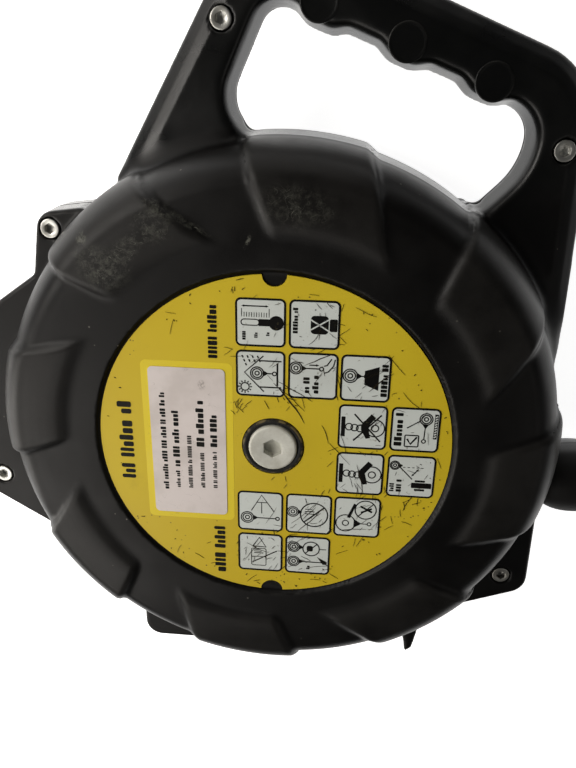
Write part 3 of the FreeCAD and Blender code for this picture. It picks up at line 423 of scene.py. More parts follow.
def pad_share(x, y):
    """1 on the raised pads, 0 between them, with soft edges."""
    share = np.zeros(len(x))
    r = np.hypot(x, y)
    far = 1.0 + 3.0 / (PAD_OUTER_R - PAD_INNER_R)
    for k in range(PAD_COUNT):
        bearing = PAD_FIRST_DEG + 360 / PAD_COUNT * k
        sides = []
        for sign, lean in ((1, -PAD_SKEW_CCW_DEG), (-1, -PAD_SKEW_CW_DEG)):
            inner = polar(PAD_INNER_R, bearing + sign * PAD_HALF_DEG + lean)
            outer = polar(PAD_OUTER_R + 3, bearing + sign * PAD_HALF_DEG - lean * (far - 1))
            along = (outer - inner) / np.linalg.norm(outer - inner)
            sides.append(sign * ((x - inner[0]) * along[1] - (y - inner[1]) * along[0]))
        ahead = x * math.cos(math.radians(bearing)) + y * math.sin(math.radians(bearing)) > 0
        inside = ahead * smoothstep(r, PAD_INNER_R - 3, PAD_INNER_R + INNER_EDGE - 3)
        for side in sides:
            inside = inside * smoothstep(side, -PAD_EDGE / 2, PAD_EDGE / 2)
        share = np.maximum(share, inside)
    return share


def dome_fit(co, normal):
    """Puts the dome's outer vertices on the soft-edged pads.  co is in millimetres from the parting plane."""
    pad, gap = np.array(PAD_LINE), np.array(GAP_LINE)
    middle = (pad + gap) / 2
    r = np.hypot(co[:, 0], co[:, 1])
    outward = (co[:, 0] * normal[:, 0] + co[:, 1] * normal[:, 1]) / np.maximum(r, 1)
    near = (r > RECESS_R - 0.2) & (r < PAD_OUTER_R + 1) & (co[:, 2] > -0.2)
    near &= (co[:, 2] > FLANGE + 2.0) | (outward > FLANK_OUTWARD)
    index = np.nonzero(near)[0]
    p = np.stack([r[index], co[index, 2]], 1)
    facing = np.stack([outward[index], normal[index, 2]], 1)
    share = pad_share(co[index, 0], co[index, 1])[:, None]
    best = np.full(len(p), 1e9)
    target = np.zeros((len(p), 2))
    agrees = np.zeros(len(p))
    for k in range(len(middle) - 1):
        a, step = middle[k], middle[k + 1] - middle[k]
        t = np.clip(((p - a) @ step) / (step @ step), 0, 1)[:, None]
        apart = np.linalg.norm(p - (a + t * step), axis=1)
        low = gap[k] + t * (gap[k + 1] - gap[k])
        high = pad[k] + t * (pad[k + 1] - pad[k])
        out = np.array([step[1], -step[0]]) / np.linalg.norm(step)
        closer = apart < best
        best[closer] = apart[closer]
        target[closer] = (low + (high - low) * share)[closer]
        agrees[closer] = (facing @ out)[closer]
    keep = (best < np.where(p[:, 1] > FLANGE + 2, REACH_TOP, REACH_FLANK)) & (agrees > SAME_WAY)
    index, target = index[keep], target[keep]
    scale = target[:, 0] / r[index]
    moved = co.copy()
    moved[index, 0] *= scale
    moved[index, 1] *= scale
    moved[index, 2] = np.where(co[index, 2] > 1.0, target[:, 1], co[index, 2])
    return moved


# The hand hole's outline at the front face, clear of its finger bumps.
HOLE = [(70, 84), (97.6, 112.0), (99.3, 134.2), (-7.6, 175.4), (-25.6, 136.2), (-6, 108)]
HOLE_CORNERS = [(-16.7, 123.4), (80.7, 94.8)]   # where the hole's walls run into the dome
CREASE_R = 124.0                # where the dome meets the flange's face


def hole_gap(x, y):
    """Distance outside the hand hole's outline; negative inside it."""
    inside = np.ones(len(x), bool)
    apart = np.full(len(x), 1e9)
    for k, (ax, ay) in enumerate(HOLE):
        bx, by = HOLE[(k + 1) % len(HOLE)]
        ux, uy = bx - ax, by - ay
        t = np.clip(((x - ax) * ux + (y - ay) * uy) / (ux * ux + uy * uy), 0, 1)
        apart = np.minimum(apart, np.hypot(x - ax - t * ux, y - ay - t * uy))
        inside &= ux * (y - ay) - uy * (x - ax) > 0
    return np.where(inside, -apart, apart)


def shell(node, name, side, material):
    """A housing half: soft pads, a fillet between dome and handle, and softened moulded edges.

    side is 1 for the front and -1 for the rear, so that both are worked on from the parting plane up.
    """
    mesh = even_mesh(node, 0.9)
    co = read_vertices(mesh) / MM
    normal = read_vertices(mesh, "normal")
    edges = read_edges(mesh)
    co[:, 2] = (co[:, 2] - HALF) * side
    normal[:, 2] *= side
    co = dome_fit(co, normal)

    r = np.hypot(co[:, 0], co[:, 1])
    crease = np.hypot(r - CREASE_R, co[:, 2] - FLANGE)
    bearing = np.degrees(np.arctan2(co[:, 1], co[:, 0]))
    fillet = smoothstep(-crease, -10.0, -4.0) * smoothstep(bearing, 5, 20) * smoothstep(-bearing, -124, -114)
    fillet *= smoothstep(hole_gap(co[:, 0], co[:, 1]), 2.0, 8.0) * (normal[:, 2] > -0.2)
    co = relax(co, edges, 0.7 * fillet, 60)
    for x, y in HOLE_CORNERS:
        apart = np.hypot(co[:, 0] - x, co[:, 1] - y)
        co = relax(co, edges, 0.8 * smoothstep(-apart, -6.0, -2.5) * (co[:, 2] < FLANGE + 8), 25)
    rim = smoothstep(-np.abs(hole_gap(co[:, 0], co[:, 1])), -5.5, -2.5) * (co[:, 2] > FLANGE - 4) * (r > 128)
    co = relax(co, edges, 0.6 * rim, 12)
    co = relax(co, edges, np.full(len(co), 0.35), 3)

    pad = mesh.attributes.new(PAD_ATTRIBUTE, "FLOAT", "POINT")
    on_pad = pad_share(co[:, 0], co[:, 1]) * smoothstep(co[:, 2], FLANGE + 2, FLANGE + 10)
    pad.data.foreach_set("value", on_pad.astype(np.float32))
    co[:, 2] = co[:, 2] * side + HALF
    write_vertices(mesh, co * MM)
    return piece(name, mesh, "housing", "black_housing", material, [node])


shell("front_shell", "housing_front_skin", 1, SCUFFED)
shell("rear_shell", "housing_rear_skin", -1, BLACK)


# ---- turned and drawn pieces ----
def crisp_piece(name, verts, faces, body, slot, material=None, replaces=(), sharp_deg=35.0):
    """A piece from vertices in millimetres, with crisp edges above the given angle."""
    mesh = bpy.data.meshes.new(name)
    mesh.from_pydata([(x * MM, y * MM, z * MM) for x, y, z in verts], [], faces)
    mesh.update()
    fix = bmesh.new()
    fix.from_mesh(mesh)
    bmesh.ops.recalc_face_normals(fix, faces=fix.faces)
    fix.to_mesh(mesh)
    fix.free()
    mesh.shade_smooth()
    mesh.set_sharp_from_angle(angle=math.radians(sharp_deg))
    return piece(name, mesh, body, slot, material, replaces)


def revolve(rings, count=72, place=(0, 0, 0), along="Z", closed=False):
    """Vertices and faces of a turned solid.

    A ring is (radius, height), and its radius may be a function of the angle.
    """
    verts, faces, rows = [], [], []
    for radius, height in rings:
        if radius == 0:
            rows.append([len(verts)] * count)
            verts.append((0, 0, height))
            continue
        rows.append(list(range(len(verts), len(verts) + count)))
        for k in range(count):
            a = 2 * math.pi * k / count
            r = radius(a) if callable(radius) else radius
            verts.append((r * math.cos(a), r * math.sin(a), height))
    pairs = list(zip(rows, rows[1:])) + ([(rows[-1], rows[0])] if closed else [])
    for low, high in pairs:
        for k in range(count):
            n = (k + 1) % count
            face = [low[k], low[n], high[n], high[k]]
            face = [v for i, v in enumerate(face) if v not in face[:i]]
            if len(face) > 2:
                faces.append(face)
    if along == "X":
        verts = [(z, x, y) for x, y, z in verts]
    return [(x + place[0], y + place[1], z + place[2]) for x, y, z in verts], faces


def gathered(parts):
    """Several lots of vertices and faces as one."""
    verts, faces = [], []
    for more_verts, more_faces in parts:
        faces += [[v + len(verts) for v in face] for face in more_faces]
        verts += more_verts
    return verts, faces


def hexagonal(across):
    """The radius of a hexagon by its angle, from its width across flats."""
    return lambda a: across / 2 / math.cos((a + math.pi / 6) % (math.pi / 3) - math.pi / 6)


def socket_head(top, bottom, head_r, head_high, across, deep, shank_r, edge):
    """Rings of a socket screw from its tip to the bottom of the hexagon."""
    return [(0, bottom), (shank_r - 0.3, bottom), (shank_r, bottom + 0.4), (shank_r, top - head_high),
            (head_r, top - head_high), (head_r, top - edge), (head_r - 0.3 * edge, top - 0.3 * edge),
            (head_r - edge, top), (head_r - 1.15 * edge, top), (across / 2 * 1.26, top),
            (across / 2 * 1.22, top - 0.03), (hexagonal(across), top - 0.12), (hexagonal(across), top - deep),
            (across * 0.42, top - deep - 0.1), (0, top - deep - 0.7)]


Z_FRONT = HALF + FLANGE
M5_SCREW = socket_head(Z_FRONT, 30.9, head_r=4.2, head_high=4.6, across=4.0, deep=2.6, shank_r=2.5, edge=0.5)
heads = [revolve(M5_SCREW, place=(x, y, 0)) for x, y in SCREWS]
crisp_piece("m5_screws", *gathered(heads), "housing", "zinc_steel", replaces=["housing_screws"], sharp_deg=28)

Z_SEAT = 84.9                   # the centre screw's head and its ring lie on the recess floor
low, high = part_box("centre_screw")
top = high.z / MM
rings = socket_head(top, low.z / MM, head_r=10.3, head_high=top - Z_SEAT, across=7.6, deep=3.3, shank_r=4.98,
                    edge=0.9)
crisp_piece("centre_bolt", *revolve(rings, 144), "housing", "stainless", MATT_ZINC, ["centre_screw"], 20)
low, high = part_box("centre_washer")
seat, rim = low.z / MM, high.z / MM
rings = [(5.3, seat), (13.0, seat), (13.0, rim - 0.5), (12.7, rim - 0.12), (12.2, rim), (11.2, rim),
         (10.8, rim - 0.2), (10.65, rim - 0.6), (10.6, Z_SEAT), (5.3, Z_SEAT)]
crisp_piece("centre_ring", *revolve(rings, 144, closed=True), "housing", "black_rubber", worn_ring(),
            ["centre_washer"])

# Three round outlines left by the mould on the grip.
rings = [(r, Z_FRONT + up) for r, up in ((0, -1.5), (7.3, -1.5), (7.3, 0.02), (7.1, 0.16), (6.6, 0.18),
                                         (6.2, 0.05), (5.8, 0.02), (0, 0.03))]
marks = [revolve(rings, place=(x, y, 0)) for x, y in ((46.2, 157.8), (79.6, 144.7), (12.8, 170.9))]
crisp_piece("grip_marks", *gathered(marks), "housing", "black_housing", sharp_deg=60)


# ---- rope end, hook and anchor lug ----
def softened(node, name, body, voxel, rounds, material=None, round_from=None):
    """A cast, forged or pressed part: the CAD shape on an even mesh with its edges eased.

    From round_from along X, in millimetres past the part's inner end, its section is rounded further.
    """
    mesh = even_mesh(node, voxel)
    co = read_vertices(mesh)
    edges = read_edges(mesh)
    co = relax(co, edges, np.full(len(co), 0.5), rounds)
    if round_from is not None:
        along = (co[:, 0] - co[:, 0].min()) / MM
        co = relax(co, edges, 0.6 * smoothstep(along, round_from, round_from + 12), 45)
    write_vertices(mesh, co)
    return piece(name, mesh, body, SLOT_OF[node], material, [node])


softened("hook_body", "forged_hook", "snap_hook", 0.6, 8, FORGED, 42)
softened("hook_gate", "forged_gate", "gate", 0.45, 6, FORGED)
softened("hook_lever", "pressed_lever", "lock_lever", 0.45, 6, FORGED)
softened("swivel_eye", "forged_swivel", "rope_end", 0.45, 5, FORGED)
softened("anchor_lug", "steel_lug", "housing", 0.55, 4)


def seamed(radius, seam=0.22, half_deg=1.6):
    """A turned radius with a thin raised line on each side, where the two mould halves met."""
    def at(a):
        off = math.degrees(min(a % math.pi, math.pi - a % math.pi))
        return radius + seam * math.exp(-(off / half_deg) ** 2)
    return at


low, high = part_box("rope_bumper")
BUMPER_X0, BUMPER_X1 = low.x / MM, high.x / MM
BUMPER_R = 17.4
WIDEST = 14.0                   # from the bumper's inner end
INNER_R, OUTER_R = 11.3, 10.9   # the ends of its curve
length = BUMPER_X1 - BUMPER_X0
outline = []
for share in np.linspace(0, 1, 13):
    bulge = math.sqrt(max(0.0, 1 - (1 - share) ** 2))
    outline.append((seamed(INNER_R + (BUMPER_R - INNER_R) * bulge), WIDEST * share))
for share in np.linspace(0, 1, 19)[1:]:
    outline.append((seamed(OUTER_R + (BUMPER_R - OUTER_R) * (1 - share ** 2.2)),
                    WIDEST + (length - WIDEST) * share))
rings = [(2.45, 0.0), (3.4, 0.0), (10.8, 0.0)] + outline + [
    (10.4, length), (9.6, length - 0.1), (9.2, length - 0.7), (8.4, length - 0.9), (7.7, length - 0.9),
    (7.62, length - 1.5), (7.62, 16.0), (2.45, 16.0)]
crisp_piece("moulded_bumper", *revolve(rings, 144, (BUMPER_X0, OUTLET_Y, HALF), "X", True), "rope_end",
            "black_rubber", replaces=["rope_bumper"], sharp_deg=40)


ROPE_R = 2.4
STRAND_R = ROPE_R * 0.335
STRANDS = 6                     # round one more, the core
LAY = 17.0                      # length of one turn of a strand
SIDES = 8


def strands(path):
    """The rope's twisted strands along a line of points in millimetres."""
    points = np.array(path, float)
    ahead = np.gradient(points, axis=0)
    ahead /= np.linalg.norm(ahead, axis=1)[:, None]
    up = np.tile((0.0, 0.0, 1.0), (len(points), 1))
    across = np.cross(up, ahead)
    run = np.concatenate([[0], np.cumsum(np.linalg.norm(np.diff(points, axis=0), axis=1))])
    parts = []
    for strand in range(STRANDS + 1):
        turn = 2 * math.pi * (strand / STRANDS + run / LAY)
        reach = (ROPE_R - STRAND_R) * (strand < STRANDS)
        line = points + reach * (np.cos(turn)[:, None] * across + np.sin(turn)[:, None] * up)
        heading = np.gradient(line, axis=0)
        heading /= np.linalg.norm(heading, axis=1)[:, None]
        side = np.cross(up, heading)
        side /= np.linalg.norm(side, axis=1)[:, None]
        top = np.cross(heading, side)
        verts = []
        for k in range(len(line)):
            for m in range(SIDES):
                a = 2 * math.pi * m / SIDES
                verts.append(tuple(line[k] + STRAND_R * (math.cos(a) * side[k] + math.sin(a) * top[k])))
        faces = []
        for k in range(0, (len(line) - 1) * SIDES, SIDES):
            for m in range(SIDES):
                n = (m + 1) % SIDES
                faces.append([k + m, k + n, k + SIDES + n, k + SIDES + m])
        faces += [list(range(SIDES))[::-1], [(len(line) - 1) * SIDES + m for m in range(SIDES)]]
        parts.append((verts, faces))
    return gathered(parts)


low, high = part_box("rope_stub")
straight = [(x, OUTLET_Y, HALF) for x in np.arange(low.x / MM, high.x / MM, 0.9)]
crisp_piece("rope_strands", *strands(straight), "rope_end", "wire_rope", replaces=["rope_stub"],
            sharp_deg=60)

# The eye runs from the ferrule round the thimble and back.
low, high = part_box("thimble")
LOOP_X = (low.x + high.x) / 2 / MM
EYE_R = 11.4
LEGS_APART = 2.6
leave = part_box("ferrule")[1].x / MM - 1.0
gap = LOOP_X - leave
tangent = math.pi - math.atan2(LEGS_APART, gap) - math.acos(EYE_R / math.hypot(gap, LEGS_APART))
turns = np.linspace(-tangent, tangent, 60)
arc = [(LOOP_X + EYE_R * math.cos(a), OUTLET_Y + EYE_R * math.sin(a)) for a in turns]
legs = []
for (x, y), side in ((arc[0], -1), (arc[-1], 1)):
    start = OUTLET_Y + side * LEGS_APART
    legs.append([(leave + (x - leave) * t, start + (y - start) * t)
                 for t in np.linspace(0, 1, 14)[:-1]])
eye_line = [(x, y, HALF) for x, y in legs[0] + arc + legs[1][::-1]]
crisp_piece("eye_strands", *strands(eye_line), "rope_end", "wire_rope", replaces=["rope_eye"],
            sharp_deg=60)

GROOVE_R = 2.42                 # the thimble's groove, in which the rope lies
groove = [(EYE_R - math.sqrt(GROOVE_R ** 2 - z * z), z) for z in np.linspace(-2.2, 2.2, 13)]
flank = [(7.66, 1.6), (7.9, 2.6), (8.5, 3.2), (9.3, 3.4), (10.2, 3.35), (10.55, 3.0)]
rings = [(7.6, 0.0)] + flank + groove[::-1] + [(r, -z) for r, z in reversed(flank)]
crisp_piece("pressed_thimble", *revolve(rings, 96, (LOOP_X, OUTLET_Y, HALF), closed=True), "rope_end",
            "stainless", replaces=["thimble"], sharp_deg=50)


# ---- printed label ----
THIN = 0.50                     # narrowest printed line
label_rng = random.Random(7)    # for lines of print
wear_rng = random.Random(31)    # for scratches


class Print:
    """Flat printed shapes between two heights, gathered into one mesh.  Millimetres from origin."""

    origin = (0.0, 0.0)

    def __init__(self, low, high):
        self.low, self.high, self.parts = low, high, []

    def levels(self, *lines):
        """The lines' points at the bottom and the top.

        Neighbouring shapes differ a little in height, so that crossing ones don't share a face.
        """
        top = self.high + 0.004 * (len(self.parts) % 12)
        return [(x + self.origin[0], y + self.origin[1], z)
                for z in (self.low, top) for line in lines for x, y in line]

    def solid(self, outline):
        n = len(outline)
        faces = [list(range(n))[::-1], list(range(n, 2 * n))]
        faces += [[k, (k + 1) % n, n + (k + 1) % n, n + k] for k in range(n)]
        self.parts.append((self.levels(outline), faces))

    def band(self, outer, inner):
        n = len(outer)
        faces = []
        for k in range(n):
            m = (k + 1) % n
            faces += [[k, m, n + m, n + k], [2 * n + k, 3 * n + k, 3 * n + m, 2 * n + m],
                      [k, 2 * n + k, 2 * n + m, m], [n + k, n + m, 3 * n + m, 3 * n + k]]
        self.parts.append((self.levels(outer, inner), faces))

    def stroke(self, points, width):
        """A mitred line of even width."""
        width = max(width, THIN)
        left, right = [], []
        for k, (x, y) in enumerate(points):
            ux, uy = direction(points[max(k - 1, 0)], points[min(k + 1, len(points) - 1)])
            left.append((x - uy * width / 2, y + ux * width / 2))
            right.append((x + uy * width / 2, y - ux * width / 2))
        self.solid(left + right[::-1])

    def ring(self, x, y, r, width):
        width = max(width, THIN)
        self.band(circle(x, y, r + width / 2), circle(x, y, r - width / 2))

    def bar(self, x0, y0, x1, y1, corner=0.0):
        self.solid(box_line(x0, y0, x1, y1, corner))

    def frame(self, x0, y0, x1, y1, corner, width):
        self.band(box_line(x0, y0, x1, y1, corner),
                  box_line(x0 + width, y0 + width, x1 - width, y1 - width, corner - width))

    def words(self, x0, x1, y0, y1, bold=1.0):
        """Marks that fill a line of print, running along +Y, as plain bars and no letters."""
        high = x1 - x0
        y = y0
        while y < y1 - 0.3 * high:
            for _ in range(label_rng.randint(2, 6)):
                wide = high * label_rng.uniform(0.35, 0.62) * bold
                if y + wide > y1:
                    break
                low = x0 + (high * label_rng.choice((0, 0, 0.28)))
                self.bar(low, y, x1, y + wide, 0.12 * high)
                y += wide + 0.14 * high
            y += 0.42 * high

    def piece(self, name, slot, material):
        return crisp_piece(name, *gathered(self.parts), "housing", slot, material, sharp_deg=50)


def direction(a, b):
    span = math.hypot(b[0] - a[0], b[1] - a[1])
    return (b[0] - a[0]) / span, (b[1] - a[1]) / span


def circle(x, y, r, count=40):
    turns = [2 * math.pi * k / count for k in range(count)]
    return [(x + r * math.cos(a), y + r * math.sin(a)) for a in turns]


def box_line(x0, y0, x1, y1, corner):
    """A rectangle's outline with rounded corners."""
    if corner <= 0:
        return [(x0, y0), (x1, y0), (x1, y1), (x0, y1)]
    points = []
    for cx, cy, start in ((x1 - corner, y0 + corner, -90), (x1 - corner, y1 - corner, 0),
                          (x0 + corner, y1 - corner, 90), (x0 + corner, y0 + corner, 180)):
        for k in range(7):
            a = math.radians(start + 15 * k)
            points.append((cx + corner * math.cos(a), cy + corner * math.sin(a)))
    return points


def printed(name, colour, worn, roughness, gloss):
    """Print that is chipped and a little faded."""
    s = Shader(name)
    chips = s.level(s.noise(420.0, 5.0, 0.7), 0.62, 0.70)
    tone = s.mix(s.times(chips, 0.85), colour, worn)
    tone = s.mix(s.times(s.level(s.noise(45.0, 4.0), 0.45, 0.75), 0.12), tone, worn)
    rough = s.level(s.noise(60.0), 0.3, 0.7, roughness - 0.06, roughness + 0.08)
    return s.finish(tone, rough, 0.0, s.bump(s.noise(900.0), 0.08, 0.0001), gloss)


INK = printed("print_black", (0.0025, 0.0025, 0.0022), (0.07, 0.06, 0.03), 0.45, 0.12)
TILE = printed("print_grey", (0.62, 0.66, 0.63), (0.25, 0.25, 0.21), 0.45, 0.3)
SCRATCH = printed("label_scratch", (0.016, 0.011, 0.005), (0.12, 0.08, 0.02), 0.6, 0.1)
BAND = printed("print_yellow", (0.74, 0.58, 0.012), (0.60, 0.46, 0.02), 0.4, 0.4)
ink = Print(Z_LABEL - 0.05, Z_LABEL + 0.10)
tiles = Print(Z_LABEL - 0.05, Z_LABEL + 0.06)
tiles_top = Print(Z_LABEL - 0.02, Z_LABEL + 0.13)      # light lines across the ink
plate_ink = Print(Z_LABEL + 0.25, Z_LABEL + 0.34)
band = Print(Z_LABEL - 0.05, Z_LABEL + 0.05)
scratches = Print(Z_LABEL + 0.02, Z_LABEL + 0.19)


# The pictures are generic symbols, in millimetres from their tile's centre.
def device(x, y, r, tail=0.0, turn=0.0):
    """The lifeline itself as a small symbol: rings, a neck and its rope."""
    for share, width in ((1.0, 0.11), (0.72, 0.06), (0.32, 0.1)):
        ink.ring(x, y, r * share, max(r * width, THIN))
    c, s = math.cos(math.radians(turn)), math.sin(math.radians(turn))

    def at(u, v):
        return x + u * c - v * s, y + u * s + v * c

    ink.solid([at(r * 0.85, r * 0.55), at(r * 0.85, -r * 0.55), at(r * 1.6, -0.25), at(r * 1.6, 0.25)])
    if tail:
        ink.stroke([at(r * 1.5, 0), at(r * 1.5 + tail, 0)], 0.45)
        end = at(r * 1.5 + tail + 0.9, 0)
        ink.ring(*end, 0.8, 0.35)


def arrow(a, b, width=0.45, head=1.5):
    ux, uy = direction(a, b)
    ink.stroke([a, (b[0] - ux * head, b[1] - uy * head)], width)
    ink.solid([b, (b[0] - ux * head - uy * head * 0.45, b[1] - uy * head + ux * head * 0.45),
               (b[0] - ux * head + uy * head * 0.45, b[1] - uy * head - ux * head * 0.45)])


def tile_temperature():
    arrow((-2, 6.8), (3.2, 6.8), 0.3, 1.1)
    arrow((-2, 6.8), (-7.6, 6.8), 0.3, 1.1)
    for k in range(12):
        ink.bar(-7.7 + k, 2.3, -7.45 + k, (5.8 if k in (0, 11) else 4.2))
    ink.frame(-8, -1.4, -0.4, 1.5, 1.4, 0.4)
    ink.bar(-0.8, -1.4, 5, 1.5, 0.1)
    ink.solid(circle(6.3, 0, 3.0))
    for k in range(3):
        ink.words(-7.4 + 4.8 * k, -6.0 + 4.8 * k, -7.4 + k, -3.4)


def tile_harness():
    ink.words(-8.6, -6.6, -3.8, 7.2)
    ink.bar(-1.5, -3.8, 5.6, 3.8, 1.6)
    ink.bar(6.0, -2.6, 9.1, 2.6, 0.3)
    for side in (-1, 1):
        tiles_top.stroke([(-2.6, 2.8 * side), (6.4, -2.8 * side)], 0.55)


def tile_shelter():
    for k in range(9):
        u, v = -7.6 + 2.1 * (k % 4) + 0.7 * (k // 4), 7.8 - 1.7 * (k // 4)
        ink.stroke([(u, v), (u + 0.5, v - 1.0)], 0.6)
    ink.ring(-6.4, -6.0, 1.7, 0.5)
    for k in range(12):
        a = math.radians(30 * k)
        ink.stroke([(-6.4 + 2.1 * math.cos(a), -6 + 2.1 * math.sin(a)),
                    (-6.4 + 2.9 * math.cos(a), -6 + 2.9 * math.sin(a))], 0.4)
    ink.stroke([(1.2, 7.8), (-6.6, 0.4), (1.4, -7.9)], 0.55)
    ink.bar(-0.6, 5.4, 8.6, 6.0)
    ink.bar(-0.6, -6.2, 8.6, -5.6)
    ink.bar(6.6, -5.2, 7.3, 4.9)
    device(-1.4, 0.2, 2.7, 2.2)


def tile_pull():
    device(-7.0, 3.3, 2.6, 5.6)
    arrow((-1.6, 4.8), (2.4, 4.8), 0.3, 1.2)
    ink.stroke([(4.6, 1.6), (6.2, 2.2), (8.2, 4.8), (8.8, 7.6)], 0.35)
    ink.stroke([(4.4, 4.6), (5.6, 5.0), (7.4, 7.8)], 0.35)
    ink.words(-3.9, -1.3, -7.6, 0.8)
    ink.words(-0.2, 2.4, -7.6, 0.8)


def tile_load():
    device(-6.2, 1.0, 2.9, 1.2)
    ink.solid([(-0.4, 3.4), (5.4, 5.4), (5.4, -5.0), (-0.4, -2.6)])
    ink.words(6.4, 9.0, -7.6, 7.6)


def tile_anchor():
    ink.bar(-8.9, -4.6, -7.2, 4.6, 0.2)
    for k in range(3):
        ink.ring(-5.6 + 2.3 * k, -0.3 * k, 1.5, 0.5)
    ink.solid([(-0.6, 1.2), (3.4, 6.2), (5.4, 4.6), (2.2, 0.4), (3.4, -4.8),
               (1.6, -5.2), (-0.6, -1.2)])
    ink.ring(5.2, -0.2, 3.9, 0.4)
    ink.ring(5.2, -0.2, 1.5, 0.5)


def tile_no_anchor():
    tile_anchor()
    for side in (-1, 1):
        ink.stroke([(2.0 - 5.6, -0.2 + side * 5.6 * 1.1), (2.0 + 5.6, -0.2 - side * 5.6 * 1.1)], 0.65)


def tile_tick():
    ink.words(-8.4, -5.2, -7.6, 7.8)
    ink.frame(-4.2, -8.0, 2.0, -2.2, 0.8, 0.55)
    ink.stroke([(-3.0, -4.2), (-1.5, -6.6), (1.0, -3.2)], 0.8)
    device(4.2, 5.2, 2.6, 5.4, -92)
    ink.bar(7.6, -3.8, 9.1, 7.6, 0.1)
    for k in range(9):
        tiles_top.stroke([(7.9, -3.0 + 1.15 * k), (8.8, -2.4 + 1.15 * k)], 0.3)
    ink.stroke([(-3.4, 0.8), (2.0, 4.4)], 0.3)


def tile_angle():
    device(-7.0, 5.2, 2.0)
    ink.stroke([(-5.2, 4.8), (0.6, -1.2)], 0.45)
    for k in range(5):
        ink.bar(-3.6 + 1.9 * k, 4.3, -2.6 + 1.9 * k, 4.6)
    arrow((1.6, 2.0), (3.2, 4.0), 0.35, 1.2)
    arrow((1.6, 2.0), (0.2, 0.2), 0.35, 1.2)
    ink.words(-8.8, -6.8, -7.6, -3.2)
    ink.words(-5.9, -3.7, -7.6, -1.6)
    ink.bar(0.4, -5.4, 9.0, -2.8, 0.5)
    ink.bar(1.8, -2.5, 6.2, -1.5, 0.4)
    ink.bar(1.8, -6.8, 6.2, -5.8, 0.4)


def tile_swing():
    ink.stroke([(-4.0, 0.2), (0.6, 8.4), (6.2, 0.0)], 0.35)
    ink.bar(-1.6, 4.4, 3.0, 4.8)
    ink.bar(0.4, -1.0, 0.8, 4.4)
    device(-5.8, -3.4, 2.8, 8.4)


def tile_no_slack():
    device(-7.0, 1.0, 2.5)
    ink.ring(2.4, -0.2, 6.0, 0.6)
    ink.stroke([(-1.8, -4.0), (6.8, 3.8)], 0.7)
    for k in range(3):
        ink.bar(-1.6, 2.4 - 1.2 * k, 1.6 + k, 2.8 - 1.2 * k)


def tile_no_tools():
    device(-4.9, -3.2, 4.2, 3.2)
    ink.ring(3.6, 4.0, 4.6, 0.55)
    ink.stroke([(0.6, 0.8), (6.8, 7.0)], 0.5)
    ink.stroke([(1.2, 5.8), (6.4, 3.0)], 0.9)
    ink.stroke([(1.6, 2.6), (6.2, 4.8)], 0.9)
    ink.solid([(-4.4, -0.2), (-3.0, -0.6), (-0.6, 6.6), (-1.6, 7.0)])


def tile_booklet():
    ink.stroke([(-3.4, 3.2), (-0.4, 8.0), (2.6, 3.0), (-3.4, 3.2)], 0.35)
    ink.frame(-4.2, -7.4, 2.8, 2.2, 0.9, 0.35)
    ink.bar(-4.0, -2.6, 2.6, -2.3)
    for k in range(3):
        ink.bar(-2.8, -0.6 + 0.9 * k, 1.4 - 0.8 * k, -0.2 + 0.9 * k)
    ink.stroke([(-3.6, -5.6), (7.6, 1.2)], 0.3)


def tile_no_knot():
    device(-6.2, 4.2, 2.6)
    ink.ring(1.6, 3.6, 3.7, 0.45)
    ink.stroke([(-1.0, 1.0), (4.2, 6.2)], 0.4)
    ink.bar(-0.4, 2.2, 2.4, 5.2, 0.9)
    ink.bar(5.4, 3.4, 8.4, 3.8)
    device(-6.2, -3.6, 2.6, 9.0)
    ink.solid([(4.4, -0.6), (8.9, -3.2), (8.9, -5.0), (6.4, -3.6)])
    ink.words(-0.4, 1.2, -7.6, -5.2)


COLUMNS = (-5.4, 16.1, 37.4, 59.1)
ROWS = (55.2, 33.3, 11.4, -10.8, -32.8, -54.7)
TILE_HALF = 9.9
LINE_HALF = TILE_HALF + 0.25    # the black line round a tile
# Each tile's column, row and picture, in the order in which they draw from label_rng.
LAYOUT = [(0, 0, tile_temperature), (1, 0, tile_harness), (0, 1, tile_shelter), (1, 1, tile_pull),
          (2, 1, tile_load), (2, 2, tile_no_anchor), (3, 2, tile_tick), (2, 3, tile_anchor),
          (3, 3, tile_angle), (0, 4, tile_swing), (1, 4, tile_no_slack), (2, 4, tile_no_tools),
          (0, 5, tile_booklet), (1, 5, tile_no_knot)]
for column, row, draw in LAYOUT:
    Print.origin = (COLUMNS[column], ROWS[row])
    tiles.bar(-TILE_HALF, -TILE_HALF, TILE_HALF, TILE_HALF, 2.2)
    ink.frame(-LINE_HALF, -LINE_HALF, LINE_HALF, LINE_HALF, 2.4, 0.85)
    draw()
Print.origin = (0.0, 0.0)
# Lines of print on the label, and then on the data plate: x0, x1, y0, y1 and boldness.
for line in ((-66.9, -60.8, -19.5, 21.5, 0.75), (-26.9, -23.1, 39.2, 63.9, 0.8),
             (-26.4, -21.4, -66.8, -39.0, 0.8)):
    ink.words(*line)
for line in ((-48.4, -46.0, -23.9, 23.2, 0.8), (-42.7, -40.8, -22.6, -12.7, 0.7),
             (-43.5, -40.5, -12.2, 17.1, 1.0), (-37.1, -35.2, -22.6, 4.1, 0.7),
             (-31.6, -29.8, -22.2, -4.0, 0.7), (-33.0, -29.6, -1.9, 21.7, 1.1),
             (-26.1, -24.3, -22.0, -3.5, 0.7), (-27.0, -24.0, -1.7, 14.6, 1.0)):
    plate_ink.words(*line)
band.band(box_line(-55.6, -38.4, -17.0, 37.2, 2.5), box_line(-52.4, -35.4, -20.4, 34.2, 1.8))


CENTRE_CLEAR = 14.5             # scratches keep clear of the centre ring


